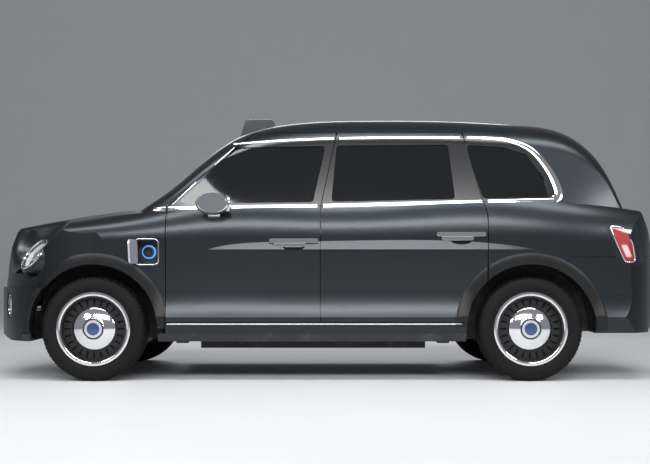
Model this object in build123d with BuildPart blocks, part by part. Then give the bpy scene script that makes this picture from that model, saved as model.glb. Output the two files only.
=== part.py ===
# Taxi cab: a five-door electric cab on four wheels, its charge flap open as it stands.
# Units are millimetres. The nose points along -X, +Y is the cab's right side, +Z is up.
# The origin is on the ground, under the middle of the body.
import os
from math import cos, hypot, radians, sin, tan

from build123d import *

os.makedirs("parts", exist_ok=True)

# Driving dimensions of the whole cab
BODY_LENGTH = 4780.0
WHEELBASE = 2985.0
FRONT_OVERHANG = 794.0
HALF_WIDTH = 937.0
ROOF_TOP = 1868.0
SILL_UNDER = 272.0
NOSE_X = -BODY_LENGTH / 2
TAIL_X = BODY_LENGTH / 2
FRONT_AXLE = NOSE_X + FRONT_OVERHANG
REAR_AXLE = FRONT_AXLE + WHEELBASE

# Walls and gaps
WALL = 55.0
PANEL_GAP = 6.0
DOOR_WALL = WALL - PANEL_GAP
FRAME_WALL = 110.0
FRAME_STEP = 45.0
EDGE_BEVEL = 14.0
GLASS_SETBACK = 6.0
GLASS_THICK = 5.0
SEAT_GAP = 0.3
LINER_STEP = 25.0
LINER_WALL = 5.0
POST_WIDTH = 40.0
WINDOW_CORNER = 24.0
DOOR_INNER = 650.0
SILL_INNER = 760.0
FLOOR_TOP = SILL_UNDER + WALL
DECK_TOP = 500.0

# Tyres and wheels
TYRE_RADIUS = 357.0
TYRE_WIDTH = 215.0
RIM_RADIUS = 228.6
TRACK_HALF = 795.0
ARCH_RADIUS = 440.0
FRONT_ARCH_INNER = 430.0
REAR_ARCH_INNER = 600.0

# Side view lines of the body
SILL_TOP = 402.0
BUMPER_TOP = 640.0
BUMPER_SEAM_FRONT = 664.0
BUMPER_SEAM_REAR = 850.0
COWL_X = -1285.0
DOOR_FRONT_X = -1101.0
DOOR_MID_X = -46.0
DOOR_REAR_X = 1094.0
DOOR_TOP = 1722.0
BONNET_HALF = 640.0
BONNET_LIP = 1040.0
BONNET_HINGE_Y = (-430.0, 430.0)
BONNET_HINGE_Z = 1182.0
TAILGATE_HALF = 612.0
TAILGATE_FOOT = 860.0
TAILGATE_TOP = 1742.0


def across(x):
    """A plane across the cab at station x: its own x is Y, its own y is Z."""
    return Plane(origin=(x, 0, 0), x_dir=(0, 1, 0), z_dir=(1, 0, 0))


def side_plane(y):
    """A plane along the cab at y: its own x is X, its own y is Z, and it looks towards -Y."""
    return Plane(origin=(0, y, 0), x_dir=(1, 0, 0), z_dir=(0, -1, 0))


# Lower body sections, one row for each station along X:
# x, half widths of the crease, the waist, the shoulder and the deck edge, deck edge z, crown of the deck
LOWER = [
    (NOSE_X - 20, 905, 885, 880, 700, 985, 60),
    (-2100, 915, 895, 893, 745, 1045, 62),
    (-1600, 932, 908, 915, 790, 1120, 72),
    (-1100, 936, 900, 918, 850, 1165, 74),
    (-300, 936, 898, 920, 868, 1190, 70),
    (700, 936, 898, 922, 868, 1212, 66),
    (1400, 936, 908, 928, 862, 1225, 60),
    (1900, 925, 905, 915, 830, 1200, 50),
    (TAIL_X + 20, 900, 885, 885, 790, 1110, 40),
]
CREASE_Z = 440.0
WAIST_Z = 620.0
SHOULDER_Z = 960.0
UNDER_TUCK = 60.0

# Greenhouse sections: x, half width at the belt, lean of the side in degrees, roof centre z, rail setback
UPPER = [
    (-1340, 800, 4.0, 1190, 60),
    (-1130, 832, 8.0, 1345, 90),
    (-870, 850, 11.5, 1568, 110),
    (-640, 858, 13.0, 1738, 130),
    (-330, 862, 13.5, 1832, 150),
    (250, 866, 13.5, ROOF_TOP, 160),
    (900, 866, 13.8, 1862, 160),
    (1350, 858, 13.5, 1838, 160),
    (1680, 838, 12.0, 1775, 150),
    (1890, 815, 9.0, 1600, 120),
    (2040, 792, 5.0, 1290, 70),
    (2110, 775, 3.0, 1150, 50),
]
UPPER_FOOT = 900.0
BELT_LEVEL = 1190.0
CROWN_ANGLE = radians(9.0)

# Headlamps: middle of the lens and the way it faces, for the right-hand side
LAMP_CENTRE = (-2040.0, 735.0, 869.0)
LAMP_NORMAL = (-0.66, 0.25, 0.71)
LAMP_RADIUS = 132.0
LAMP_SLOPE_INNER = 545.0
LAMP_DEPTH = 80.0
LAMP_DOME = 26.0
LENS_RISE = 22.0

# Fog lamps, again for the right-hand side
FOG_CENTRE = (-2222.0, 668.0, 513.0)
FOG_NORMAL = (-0.85, 0.52)
FOG_HALF_HIGH = 88.0
FOG_HALF_WIDE = 58.0
FOG_DEPTH = 60.0
FOG_PROUD = 8.0

# Wheels, counted outwards from the wheel's middle, and what carries them
RIM_HALF = 93.0
RIM_WALL = 10.0
TRIM_RADIUS = 252.0
DISC_FACE = 62.0
DISC_WALL = 12.0
SLOT_CIRCLE = 183.0
SLOT_COUNT = 24
SLOT_LENGTH = 44.0
SLOT_WIDTH = 14.0
CAP_RADIUS = 148.0
CAP_TOP_RADIUS = 70.0
CAP_RISE = 36.0
HUB_RADIUS = 70.0
HUB_INNER = 25.0
KING_PIN = 735.0
KNUCKLE_FOOT = 258.0
KNUCKLE_HEAD = 520.0
UPRIGHT_HALF = 22.0
BRAKE_RADIUS = 155.0
BRAKE_WALL = 24.0
ARM_WALL = 22.0
BEAM_HALF = 400.0
BEAM_FOOT = 200.0
AXLE_TUBE = 45.0
MOTOR_RADIUS = 110.0
MOTOR_LENGTH = 420.0
BATTERY_FOOT = 205.0

# Roof sign and what is inside the cabin
SIGN_HALF = 300.0
SIGN_PROFILE = [(-645, 1690), (-640, 1752), (-596, 1884), (-560, 1886)]
SIGN_PROFILE += [(-420, 1886), (-385, 1850), (-380, 1750)]
DASH_HALF = 690.0
DASH_PROFILE = [(-1159, 700), (-930, 700), (-880, 800), (-860, 1040), (-930, 1110), (-1159, 1130)]
STEERING_CENTRE = (-715.0, 370.0, 1035.0)
STEERING_RAKE = radians(28)
STEERING_RADIUS = 175.0
COLUMN_LENGTH = 150.0
COLUMN_RADIUS = 22.0
DRIVER_X = -705.0
DRIVER_Y = 370.0
BENCH_X = 1040.0
DRIVER_PROFILE = [(40, FLOOR_TOP + SEAT_GAP), (480, FLOOR_TOP + SEAT_GAP), (500, 640), (620, 1240)]
DRIVER_PROFILE += [(500, 1240), (410, 760), (0, 790), (0, 650)]
BENCH_HALF = 560.0
BENCH_PROFILE = [(65, DECK_TOP + SEAT_GAP), (560, DECK_TOP + SEAT_GAP), (580, 760), (640, 1240)]
BENCH_PROFILE += [(520, 1250), (440, 790), (0, 820), (0, 690)]
PARTITION_X = -60.0
PARTITION_WALL = 25.0

# Tail lamps, grille and intake
TAIL_LAMP_INNER = 625.0
TAIL_LAMP_CORNER = 40.0
GRILLE_CORNER = 50.0
INTAKE_CORNER = 30.0
GRILLE_RIM = 26.0
BAR_COUNT = 17
BAR_PITCH = 36.0
BAR_WIDTH = 11.0
SLAT_COUNT = 3
SLAT_PITCH = 28.0

# Door handles and mirrors: the bar's middle on the side view, then its sizes
FRONT_HANDLE = (-228.0, 958.0)
REAR_HANDLE = (912.0, 1002.0)
HANDLE_LENGTH = 335.0
HANDLE_HIGH = 30.0
HANDLE_FOOT = 895.0
HANDLE_FACE = 938.0
HANDLE_ROUND = 6.0
CUP_DEPTH = 5.0
CUP_DROP = 38.0
CUP_LENGTH = 150.0
CUP_HIGH = 62.0
MIRROR_CENTRE = (-770.0, 1205.0)
# Half width of the section, its length and its height
MIRROR_SECTIONS = [(905, 120, 70), (935, 205, 132), (985, 236, 148), (1022, 190, 118)]

# Charge point on the left front wing
CHARGE_CORNER = 28.0
CHARGE_CENTRE = (-1229.0, 884.0)
CHARGE_DEPTH = 140.0
CUP_MOUTH = 895.0
SOCKET_RADIUS = 38.0
SOCKET_PROUD = 42.0
FLAP_GAP = 3.0
FLAP_THICK = 12.0
FLAP_OPEN = 100.0

# Floor, bulkhead and joints between big panels
FLOOR_FRONT = -2100.0
RISER_X = 1100.0
DECK_WALL = 30.0
DECK_HALF = 590.0
DECK_REAR = 2170.0
JACK_PAD_X = (-1000.0, 800.0)
JACK_PAD_Y = 780.0
JACK_PAD_HALF = 40.0
JACK_PAD_FOOT = 257.0
BULKHEAD_X = -1200.0
BULKHEAD_WALL = 40.0
BULKHEAD_TOP = 1262.0
REAR_BUMPER_X = 1640.0
WING_TOP = 1160.0
BELT_HALF = 864.0
HEAD_HALF = 736.0

# Nose and tail in side view, listed as X from the end of the body and Z
NOSE_SIDE = [(190, SILL_UNDER), (62, 305), (0, 540), (0, BUMPER_TOP)]
NOSE_SIDE += [(72, 705), (118, 900), (180, 1036), (236, 1092)]
TAIL_SIDE = [(150, SILL_UNDER + 75), (118, 378), (0, 535), (0, BUMPER_TOP)]
TAIL_SIDE += [(62, 690), (96, 860), (165, 1045), (270, 1225)]

# Nose and tail in plan: how far back the outline is at three half widths
UPPER_NOSE_PLAN = [(0, 0), (430, 74), (640, 205), (905, 800)]
NOSE_PLAN = [(0, 0), (430, 40), (690, 165), (HALF_WIDTH + 8, 640)]
TAIL_PLAN = [(0, 0), (430, 28), (700, 130), (HALF_WIDTH + 8, 600)]


def lower_section(row, inset):
    """Section of the body below the belt, its skin moved inwards by inset."""
    x, crease, waist, shoulder, deck_y, deck_z, crown = row
    foot = (crease - UNDER_TUCK - inset, SILL_UNDER + inset)
    crease_point = (crease - inset, CREASE_Z)
    waist_point = (waist - inset, WAIST_Z)
    shoulder_point = (shoulder - inset, SHOULDER_Z)
    deck_point = (deck_y - inset, deck_z - inset)
    deck_top = (0, deck_z + crown - inset)
    bow = ((crease_point[0] + waist_point[0]) / 2 - 9, (CREASE_Z + WAIST_Z) / 2 + 6)
    with BuildSketch(across(x)) as section:
        with BuildLine():
            Line((0, foot[1]), foot)
            Line(foot, crease_point)
            ThreePointArc(crease_point, bow, waist_point)
            Line(waist_point, shoulder_point)
            TangentArc(shoulder_point, deck_point, tangent=(shoulder - waist, SHOULDER_Z - WAIST_Z))
            crown_arc(deck_point, deck_top)
            mirror(about=Plane.YZ)
        make_face()
    return section.sketch


def crown_arc(edge, top):
    """Half of a crowned top: an arc from its edge to the middle, level there."""
    drop = top[1] - edge[1]
    radius = (edge[0] ** 2 + drop**2) / (2 * drop)
    half_y = edge[0] / 2
    half_z = top[1] - radius + (radius**2 - half_y**2) ** 0.5
    ThreePointArc(edge, (half_y, half_z), top)


def upper_section(row, inset):
    """Section of the greenhouse: leaning side, rounded rail and crowned roof."""
    x, belt_y, lean_deg, roof_z, setback = row
    slope, flat = tan(radians(lean_deg)), tan(CROWN_ANGLE / 2)
    level = roof_z + setback * (cos(CROWN_ANGLE) * flat - sin(CROWN_ANGLE))
    corner_y = (belt_y - (level - BELT_LEVEL) * slope) / (1 - flat * slope)
    corner_z = level - corner_y * flat
    along = (-sin(radians(lean_deg)), cos(radians(lean_deg)))
    foot = (belt_y + (BELT_LEVEL - UPPER_FOOT) * slope - inset, UPPER_FOOT)
    side_top = (corner_y - setback * along[0] - inset, corner_z - setback * along[1] - inset)
    rail_in = (
        corner_y - setback * cos(CROWN_ANGLE) - inset,
        corner_z + setback * sin(CROWN_ANGLE) - inset,
    )
    with BuildSketch(across(x)) as section:
        with BuildLine():
            Line((0, UPPER_FOOT), foot)
            Line(foot, side_top)
            TangentArc(side_top, rail_in, tangent=along)
            crown_arc(rail_in, (0, roof_z - inset))
            mirror(about=Plane.YZ)
        make_face()
    return section.sketch


def end_outline(points, end_x, inset):
    """Points of an end of the body, turned into X and moved inwards by inset."""
    inward = 1 if end_x < 0 else -1
    return [(end_x + inward * (back + inset), other) for back, other in points]


def side_silhouette(inset):
    """Side view of both ends, as one face that clears the roof."""
    nose = end_outline(NOSE_SIDE, NOSE_X, inset)
    tail = end_outline(TAIL_SIDE, TAIL_X, inset)
    with BuildSketch(side_plane(0)) as face:
        with BuildLine():
            Line(nose[0], nose[1])
            ThreePointArc(nose[1], mid_bulge(nose[1], nose[2], 14), nose[2])
            Line(nose[2], nose[3])
            Line(nose[3], nose[4])
            ThreePointArc(nose[4], mid_bulge(nose[4], nose[6], 8), nose[6])
            Line(nose[6], nose[7])
            Polyline(
                nose[7],
                (nose[7][0] + 90, 2000),
                (tail[7][0] - 10, 2000),
                tail[7],
                tail[6],
            )
            ThreePointArc(tail[6], mid_bulge(tail[4], tail[6], -12), tail[4])
            Line(tail[4], tail[3])
            Line(tail[3], tail[2])
            ThreePointArc(tail[2], mid_bulge(tail[1], tail[2], -24), tail[1])
            Polyline(tail[1], tail[0], (tail[0][0] - 60, 200), (nose[0][0] + 60, 200), nose[0])
        make_face()
    return face.sketch


def mid_bulge(low, high, bulge):
    """Middle of a chord that climbs from low to high, pushed towards -X by bulge."""
    run, climb = high[0] - low[0], high[1] - low[1]
    reach = hypot(run, climb)
    return ((low[0] + high[0]) / 2 - bulge * climb / reach, (low[1] + high[1]) / 2 + bulge * run / reach)


def plan_outline(inset, nose_plan):
    """Plan view of the body: bowed nose and tail, with round corners."""
    half = []
    for points, end_x in ((nose_plan, NOSE_X), (TAIL_PLAN, TAIL_X)):
        half.append(end_outline([(back, y - inset * (y > 0)) for y, back in points], end_x, inset))
    nose, tail = half
    with BuildSketch(Plane.XY) as face:
        with BuildLine():
            ThreePointArc(nose[0], nose[1], nose[2])
            heading = (nose[2][0] - nose[1][0], nose[2][1] - nose[1][1])
            TangentArc(nose[2], nose[3], tangent=(heading[0] * 1.25, heading[1]))
            Polyline(nose[3], (nose[3][0] + 200, tail[3][1]), tail[3])
            heading = (tail[1][0] - tail[2][0], tail[1][1] - tail[2][1])
            ThreePointArc(tail[0], tail[1], tail[2])
            TangentArc(tail[2], tail[3], tangent=(-heading[0] * 1.25, -heading[1]))
            mirror(about=Plane.XZ)
        make_face()
    return face.sketch


def hull(inset):
    """The whole closed body, its skin moved inwards by inset."""
    with BuildPart() as solid:
        loft([lower_section(row, inset) for row in LOWER])
        loft([upper_section(row, inset) for row in UPPER])
        extrude(side_silhouette(inset), amount=1100, both=True, mode=Mode.INTERSECT)
        extrude(plan_outline(inset, NOSE_PLAN), amount=2100, mode=Mode.INTERSECT)
        for side in (-1, 1):
            add(lamp_slope(side, inset), mode=Mode.SUBTRACT)
        nose_trim = Plane.XY.offset(BUMPER_TOP - inset)
        with BuildSketch(nose_trim):
            with Locations((NOSE_X + 500, 0)):
                Rectangle(1200, 2400)
            add(plan_outline(inset, UPPER_NOSE_PLAN), mode=Mode.SUBTRACT)
        extrude(amount=900, mode=Mode.SUBTRACT)
    return solid.part


def lamp_plane(side, lift=0.0):
    """The plane of a headlamp's lens on one side (-1 left, 1 right), lifted along its own normal."""
    normal = Vector(LAMP_NORMAL[0], side * LAMP_NORMAL[1], LAMP_NORMAL[2]).normalized()
    centre = Vector(LAMP_CENTRE[0], side * LAMP_CENTRE[1], LAMP_CENTRE[2]) + normal * lift
    return Plane(origin=centre, x_dir=(0, 1, 0), z_dir=normal)


def lamp_slope(side, inset):
    """What lies ahead of the sloping front of a wing, where the headlamp sits."""
    with BuildPart() as ahead:
        with BuildSketch(lamp_plane(side, -inset)):
            Rectangle(1600, 1600)
        extrude(amount=500)
        low, high = sorted((side * (LAMP_SLOPE_INNER + inset), side * 1200))
        add(block((-3000, low, 100), (-1500, high, 2000)), mode=Mode.INTERSECT)
    return ahead.part


def lamp_barrel(side, radius, back, front):
    """A headlamp's round barrel on one side, with a gently domed lens."""
    ball = (radius**2 + LENS_RISE**2) / (2 * LENS_RISE)
    with BuildPart() as barrel:
        with BuildSketch(lamp_plane(side, back)):
            Circle(radius)
        extrude(amount=front - back)
        if front <= LAMP_DOME:
            with Locations(lamp_plane(side, front - ball)):
                Sphere(ball, mode=Mode.INTERSECT)
    return barrel.part


def fog_barrel(side, grow, back, front):
    """An upright oval fog lamp at a corner of the bumper."""
    facing = Vector(FOG_NORMAL[0], side * FOG_NORMAL[1], 0).normalized()
    centre = Vector(FOG_CENTRE[0], side * FOG_CENTRE[1], FOG_CENTRE[2]) + facing * back
    with BuildPart() as barrel:
        with BuildSketch(Plane(origin=centre, x_dir=(0, 0, 1), z_dir=facing)):
            Ellipse(FOG_HALF_HIGH + grow, FOG_HALF_WIDE + grow)
        extrude(amount=front - back)
    return barrel.part


# Outlines seen from the side, X and Z, counter-clockwise from the lower front corner
FRONT_DOOR = [
    (DOOR_FRONT_X, SILL_TOP),
    (DOOR_MID_X, SILL_TOP),
    (DOOR_MID_X, 1190),
    (69, DOOR_TOP),
    (-508, DOOR_TOP),
    (DOOR_FRONT_X, 1195),
]
REAR_DOOR = [
    (DOOR_MID_X, SILL_TOP),
    (DOOR_REAR_X, SILL_TOP),
    (DOOR_REAR_X, 1130),
    (1070, 1225),
    (942, DOOR_TOP),
    (69, DOOR_TOP),
    (DOOR_MID_X, 1190),
]
FRONT_WINDOW = [(-1048, 1214), (-98, 1226), (-10, 1622), (-628, 1612)]
REAR_WINDOW = [(28, 1228), (878, 1247), (838, 1630), (66, 1624)]
QUARTER_WINDOW = [(1070, 1250), (1528, 1262), (1500, 1390), (1385, 1560), (1225, 1612), (962, 1630)]
TAIL_LAMP = [(1985, 795), (2190, 795), (2120, 1080), (1880, 1080)]
CHARGE_OPENING = [(-1307, 800), (-1151, 800), (-1151, 968), (-1307, 968)]

# Outlines seen from the front, half width and Z, from the lower corner up
GRILLE = [(335, 700), (360, 1000)]
INTAKE = [(430, 372), (400, 505)]


def side_prism(points, inner=300.0, outer=1050.0, grow=0.0, corner=0.0):
    """A side view outline on the left of the cab, as a solid between two half widths."""
    with BuildPart() as prism:
        with BuildSketch(side_plane(-inner)) as face:
            with BuildLine():
                Polyline(*points, close=True)
            make_face()
            if grow:
                offset(amount=grow, kind=Kind.INTERSECTION)
            if corner:
                fillet(face.vertices(), corner)
        extrude(amount=outer - inner)
    return prism.part


def front_prism(points, near, far, corner=0.0, grow=0.0):
    """An outline seen from the front, Y and Z, mirrored about the middle, as a solid from x near to far."""
    with BuildPart() as prism:
        with BuildSketch(across(near)) as face:
            with BuildLine():
                Polyline((0, points[0][1]), *points, (0, points[-1][1]))
                mirror(about=Plane.YZ)
            make_face()
            if grow:
                offset(amount=grow, kind=Kind.INTERSECTION)
            if corner:
                fillet(face.vertices(), corner)
        extrude(amount=far - near)
    return prism.part


def block(low, high):
    """A plain box between two corners."""
    size = [b - a for a, b in zip(low, high)]
    with BuildPart() as made:
        with Locations(tuple((b + a) / 2 for a, b in zip(low, high))):
            Box(*size)
    return made.part


def common(whole, *tools):
    """What the solids share."""
    with BuildPart() as made:
        add(whole)
        for tool in tools:
            add(tool, mode=Mode.INTERSECT)
    return made.part


def less(whole, *tools):
    """A solid with others cut away from it."""
    with BuildPart() as made:
        add(whole)
        for tool in tools:
            add(tool, mode=Mode.SUBTRACT)
    return made.part


def joined(*pieces):
    """Several solids made one."""
    with BuildPart() as made:
        for piece in pieces:
            add(piece)
    return made.part


def other_side(piece):
    """The same piece on the right of the cab."""
    return mirror(piece, about=Plane.XZ)


def save(shape, name):
    """Writes one node."""
    shape.label = name
    export_step(shape, f"parts/{name}.step")


def arch_cut(axle_x, inner, radius=ARCH_RADIUS, outer=HALF_WIDTH + 60):
    """The room for a wheel on the left: a round arch that runs straight down, between two half widths."""
    with BuildPart() as room:
        with BuildSketch(side_plane(-inner)):
            with Locations((axle_x, TYRE_RADIUS)):
                Circle(radius)
            with Locations((axle_x, TYRE_RADIUS / 2)):
                Rectangle(2 * radius, TYRE_RADIUS)
        extrude(amount=outer - inner)
    return room.part


# The skin and what the panels are cut from
outer = hull(0)
lining = hull(WALL)
skin = less(outer, lining)
door_stock = less(outer, hull(DOOR_WALL))
post_zone = block((DOOR_FRONT_X - POST_WIDTH, -1000, FLOOR_TOP + SEAT_GAP), (1340, 0, 1700))
frame_core = hull(FRAME_WALL)
frame_stock = common(less(lining, frame_core), post_zone)


def cabin(inset):
    """The greenhouse alone, for the glass."""
    with BuildPart() as solid:
        loft([upper_section(row, inset) for row in UPPER])
    return solid.part


glass_stock = less(cabin(GLASS_SETBACK), cabin(GLASS_SETBACK + GLASS_THICK))

WINDSCREEN = [(738, 1268), (600, 1738)]
REAR_SCREEN = [(520, 1330), (470, 1690)]

arches = [arch_cut(FRONT_AXLE, FRONT_ARCH_INNER), arch_cut(REAR_AXLE, REAR_ARCH_INNER)]
arches += [other_side(arch) for arch in arches]
liner_reach = ARCH_RADIUS + LINER_STEP + SEAT_GAP
wide_arches = [
    arch_cut(FRONT_AXLE, FRONT_ARCH_INNER - SEAT_GAP, liner_reach),
    arch_cut(REAR_AXLE, REAR_ARCH_INNER - SEAT_GAP, liner_reach),
]
lamp_rooms = [lamp_barrel(side, LAMP_RADIUS + SEAT_GAP, -90, 60) for side in (-1, 1)]
fog_rooms = [fog_barrel(side, SEAT_GAP, -90, 60) for side in (-1, 1)]
tail_lamp_room = side_prism(
    TAIL_LAMP,
    inner=TAIL_LAMP_INNER - SEAT_GAP,
    grow=SEAT_GAP,
    corner=TAIL_LAMP_CORNER,
)
windscreen_hole = front_prism(WINDSCREEN, -1400, -300, corner=70)
tailgate_room = block((1500, -TAILGATE_HALF, TAILGATE_FOOT - PANEL_GAP), (2500, TAILGATE_HALF, TAILGATE_TOP))


def edge_bevel(foot, head):
    """Room behind a door's upper rear edge, so that the leaning frame swings out past its neighbour."""
    low, high = Vector(foot[0], -BELT_HALF, foot[1]), Vector(head[0], -HEAD_HALF, head[1])
    along = (high - low).normalized()
    inwards = Vector(-EDGE_BEVEL / DOOR_WALL, 1, 0)
    with BuildPart() as wedge:
        with BuildSketch(Plane(origin=low, x_dir=along, z_dir=inwards.cross(along))):
            Rectangle((high - low).length + 80, 400, align=(Align.MIN, Align.CENTER))
        extrude(amount=150)
    return wedge.part


def handle(x, z):
    """A long bar handle that seats on the skin of a left-hand door."""
    with BuildPart() as made:
        with BuildSketch(side_plane(-HANDLE_FOOT)):
            with Locations((x, z)):
                SlotOverall(HANDLE_LENGTH, HANDLE_HIGH)
        extrude(amount=HANDLE_FACE - HANDLE_FOOT)
        fillet(made.faces().sort_by(Axis.Y)[0].edges(), HANDLE_ROUND)
    return made.part


def finger_cup(x, z):
    """The hollow for the fingers below a handle's bar."""
    with BuildPart() as made:
        with BuildSketch(side_plane(-(HANDLE_FOOT - CUP_DEPTH))):
            with Locations((x, z - CUP_DROP)):
                Ellipse(CUP_LENGTH / 2, CUP_HIGH / 2)
        extrude(amount=100)
    return made.part


def door_panel(outline, window, rear_edge, handle_at):
    """A door: skin and inner panel in one, its window cut, its upper rear edge bevelled inwards."""
    with BuildPart() as door:
        add(door_stock)
        add(side_prism(outline, inner=DOOR_INNER, grow=-PANEL_GAP / 2), mode=Mode.INTERSECT)
        add(side_prism(window, corner=WINDOW_CORNER), mode=Mode.SUBTRACT)
        add(edge_bevel(*[(x - PANEL_GAP / 2, z) for x, z in rear_edge]), mode=Mode.SUBTRACT)
        for arch in arches[:2]:
            add(arch, mode=Mode.SUBTRACT)
        add(finger_cup(*handle_at), mode=Mode.SUBTRACT)
        add(handle(*handle_at))
    return door.part


def pane(outline):
    """A pane on the left, a hair inside its hole."""
    return common(glass_stock, side_prism(outline, grow=-SEAT_GAP, corner=WINDOW_CORNER))


doors = {
    "front": door_panel(FRONT_DOOR, FRONT_WINDOW, FRONT_DOOR[2:4], FRONT_HANDLE),
    "rear": door_panel(REAR_DOOR, REAR_WINDOW, REAR_DOOR[3:5], REAR_HANDLE),
}
panes = {"front": pane(FRONT_WINDOW), "rear": pane(REAR_WINDOW)}
for place in ("front", "rear"):
    save(doors[place], f"door_{place}_left")
    save(other_side(doors[place]), f"door_{place}_right")
    save(panes[place], f"glass_{place}_left")
    save(other_side(panes[place]), f"glass_{place}_right")

# Body sides: quarter, sill, pillars and the frame round the doors
side_zone = block((COWL_X + 3, -1000, FLOOR_TOP + SEAT_GAP), (TAIL_X + 50, -560, DOOR_TOP - SEAT_GAP))
with BuildPart() as body_side:
    add(skin)
    for outline in (FRONT_DOOR, REAR_DOOR):
        add(side_prism(outline, inner=DOOR_INNER - PANEL_GAP, grow=PANEL_GAP / 2), mode=Mode.SUBTRACT)
    add(less(frame_stock, *wide_arches))
    add(side_zone, mode=Mode.INTERSECT)
    for outline in (FRONT_DOOR, REAR_DOOR):
        add(side_prism(outline, grow=-FRAME_STEP), mode=Mode.SUBTRACT)
    add(side_prism(QUARTER_WINDOW, corner=WINDOW_CORNER), mode=Mode.SUBTRACT)
    add(windscreen_hole, mode=Mode.SUBTRACT)
    add(tailgate_room, mode=Mode.SUBTRACT)
    add(block((REAR_BUMPER_X, -1000, 200), (TAIL_X + 50, 0, BUMPER_SEAM_REAR)), mode=Mode.SUBTRACT)
    add(block((COWL_X, -1000, 200), (DOOR_FRONT_X - 3, 0, WING_TOP)), mode=Mode.SUBTRACT)
    add(arches[0], mode=Mode.SUBTRACT)
    add(arches[1], mode=Mode.SUBTRACT)
    add(tail_lamp_room, mode=Mode.SUBTRACT)
    add(block((COWL_X, -BONNET_HALF - SEAT_GAP, 300), (DOOR_FRONT_X - 3, 0, 1400)), mode=Mode.SUBTRACT)
    add(block((COWL_X, -SILL_INNER, 300), (REAR_AXLE, 0, 1000)), mode=Mode.SUBTRACT)
save(body_side.part, "body_side_left")
save(other_side(body_side.part), "body_side_right")

# Roof, with the header over the windscreen
roof = less(common(skin, block((-1000, -900, DOOR_TOP), (TAIL_X, 900, 2000))), windscreen_hole, tailgate_room)
save(roof, "roof")

# Bulkhead behind the engine, with the cowl that carries the foot of the windscreen
bulkhead_low = (BULKHEAD_X, -BONNET_HALF, FLOOR_TOP + SEAT_GAP)
bulkhead_high = (BULKHEAD_X + BULKHEAD_WALL, BONNET_HALF, BULKHEAD_TOP)
cowl = common(skin, block((COWL_X + 3, -BONNET_HALF, 1100), (DOOR_FRONT_X - 3, BONNET_HALF, 1400)))
with BuildPart() as bulkhead:
    add(common(outer, block(bulkhead_low, bulkhead_high)))
    add(cowl)
    add(windscreen_hole, mode=Mode.SUBTRACT)
    for room in wide_arches[0], other_side(wide_arches[0]):
        add(room, mode=Mode.SUBTRACT)
    for y in BONNET_HINGE_Y:
        hinge_low = (COWL_X - 3 + SEAT_GAP, y - 30, BONNET_HINGE_Z - 18)
        add(block(hinge_low, (COWL_X + 10, y + 30, BONNET_HINGE_Z + 18)))
save(bulkhead.part, "bulkhead")

# Bonnet
bonnet_side = BONNET_HALF - PANEL_GAP
bonnet = common(
    door_stock,
    block((-2500, -bonnet_side, BONNET_LIP + PANEL_GAP), (COWL_X - 3, bonnet_side, 1400)),
)
save(bonnet, "bonnet")

# Tailgate and its screen
rear_hole = front_prism(REAR_SCREEN, 1500, 2300, corner=60)
gate_side = TAILGATE_HALF - PANEL_GAP
tailgate = less(
    common(door_stock, block((1500, -gate_side, TAILGATE_FOOT), (2500, gate_side, TAILGATE_TOP - PANEL_GAP))),
    rear_hole,
)
save(tailgate, "tailgate")
save(common(glass_stock, front_prism(REAR_SCREEN, 1500, 2300, corner=60, grow=-SEAT_GAP)), "rear_screen")

# Fixed glass: the windscreen and the quarter panes
windscreen = common(glass_stock, front_prism(WINDSCREEN, -1400, -300, corner=70, grow=-SEAT_GAP))
quarter = pane(QUARTER_WINDOW)
save(joined(windscreen, quarter, other_side(quarter)), "fixed_glass")

# Front wings; the left one is cut for the charge point
wing_zone = block((-2500, -1000, SILL_TOP), (DOOR_FRONT_X - 3, -BONNET_HALF, 1400))
wing = less(
    common(skin, wing_zone),
    arches[0],
    block((-2500, -1000, 200), (FRONT_AXLE, 0, BUMPER_SEAM_FRONT)),
    block((COWL_X, -1000, WING_TOP), (-1000, 0, 1400)),
    lamp_rooms[0],
)
charge_room = side_prism(CHARGE_OPENING, corner=CHARGE_CORNER)
save(less(wing, charge_room), "front_wing_left")
save(other_side(wing), "front_wing_right")

# Charge flap: cut from the wing's skin, then turned open about its front edge
flap_blank = common(wing, side_prism(CHARGE_OPENING, grow=-FLAP_GAP, corner=CHARGE_CORNER))
flap_layer = less(flap_blank, flap_blank.moved(Location((0, FLAP_THICK, 0))))
flap_edge = flap_layer.bounding_box()
flap_pin = Location((flap_edge.min.X, flap_edge.min.Y, 0))
with BuildPart() as flap_knuckle:
    with Locations((flap_edge.min.X, flap_edge.min.Y, (flap_edge.min.Z + flap_edge.max.Z) / 2)):
        Cylinder(FLAP_GAP - SEAT_GAP, flap_edge.max.Z - flap_edge.min.Z - 40)
closed_flap = joined(flap_layer, flap_knuckle.part)
save(closed_flap.rotate(Axis(flap_pin.position, (0, 0, 1)), -FLAP_OPEN), "charge_flap")

# Charge socket: a cup behind the opening with the round socket on its floor
socket_face = HALF_WIDTH - CHARGE_DEPTH
with BuildPart() as charge_socket:
    add(side_prism(CHARGE_OPENING, inner=socket_face, outer=CUP_MOUTH, grow=-SEAT_GAP, corner=CHARGE_CORNER))
    add(
        side_prism(CHARGE_OPENING, inner=socket_face + 8, outer=CUP_MOUTH, grow=-9, corner=CHARGE_CORNER - 8),
        mode=Mode.SUBTRACT,
    )
    with BuildSketch(side_plane(-socket_face)):
        with Locations(CHARGE_CENTRE):
            Circle(SOCKET_RADIUS)
    extrude(amount=SOCKET_PROUD)
    with BuildSketch(side_plane(-(socket_face + 14))):
        with Locations(CHARGE_CENTRE):
            Circle(SOCKET_RADIUS - 9)
    extrude(amount=SOCKET_PROUD, mode=Mode.SUBTRACT)
    with BuildSketch(side_plane(-(socket_face + 8))):
        with Locations(CHARGE_CENTRE):
            with PolarLocations(SOCKET_RADIUS * 0.42, 5):
                Circle(3.5)
    extrude(amount=26)
save(charge_socket.part, "charge_socket")
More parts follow.
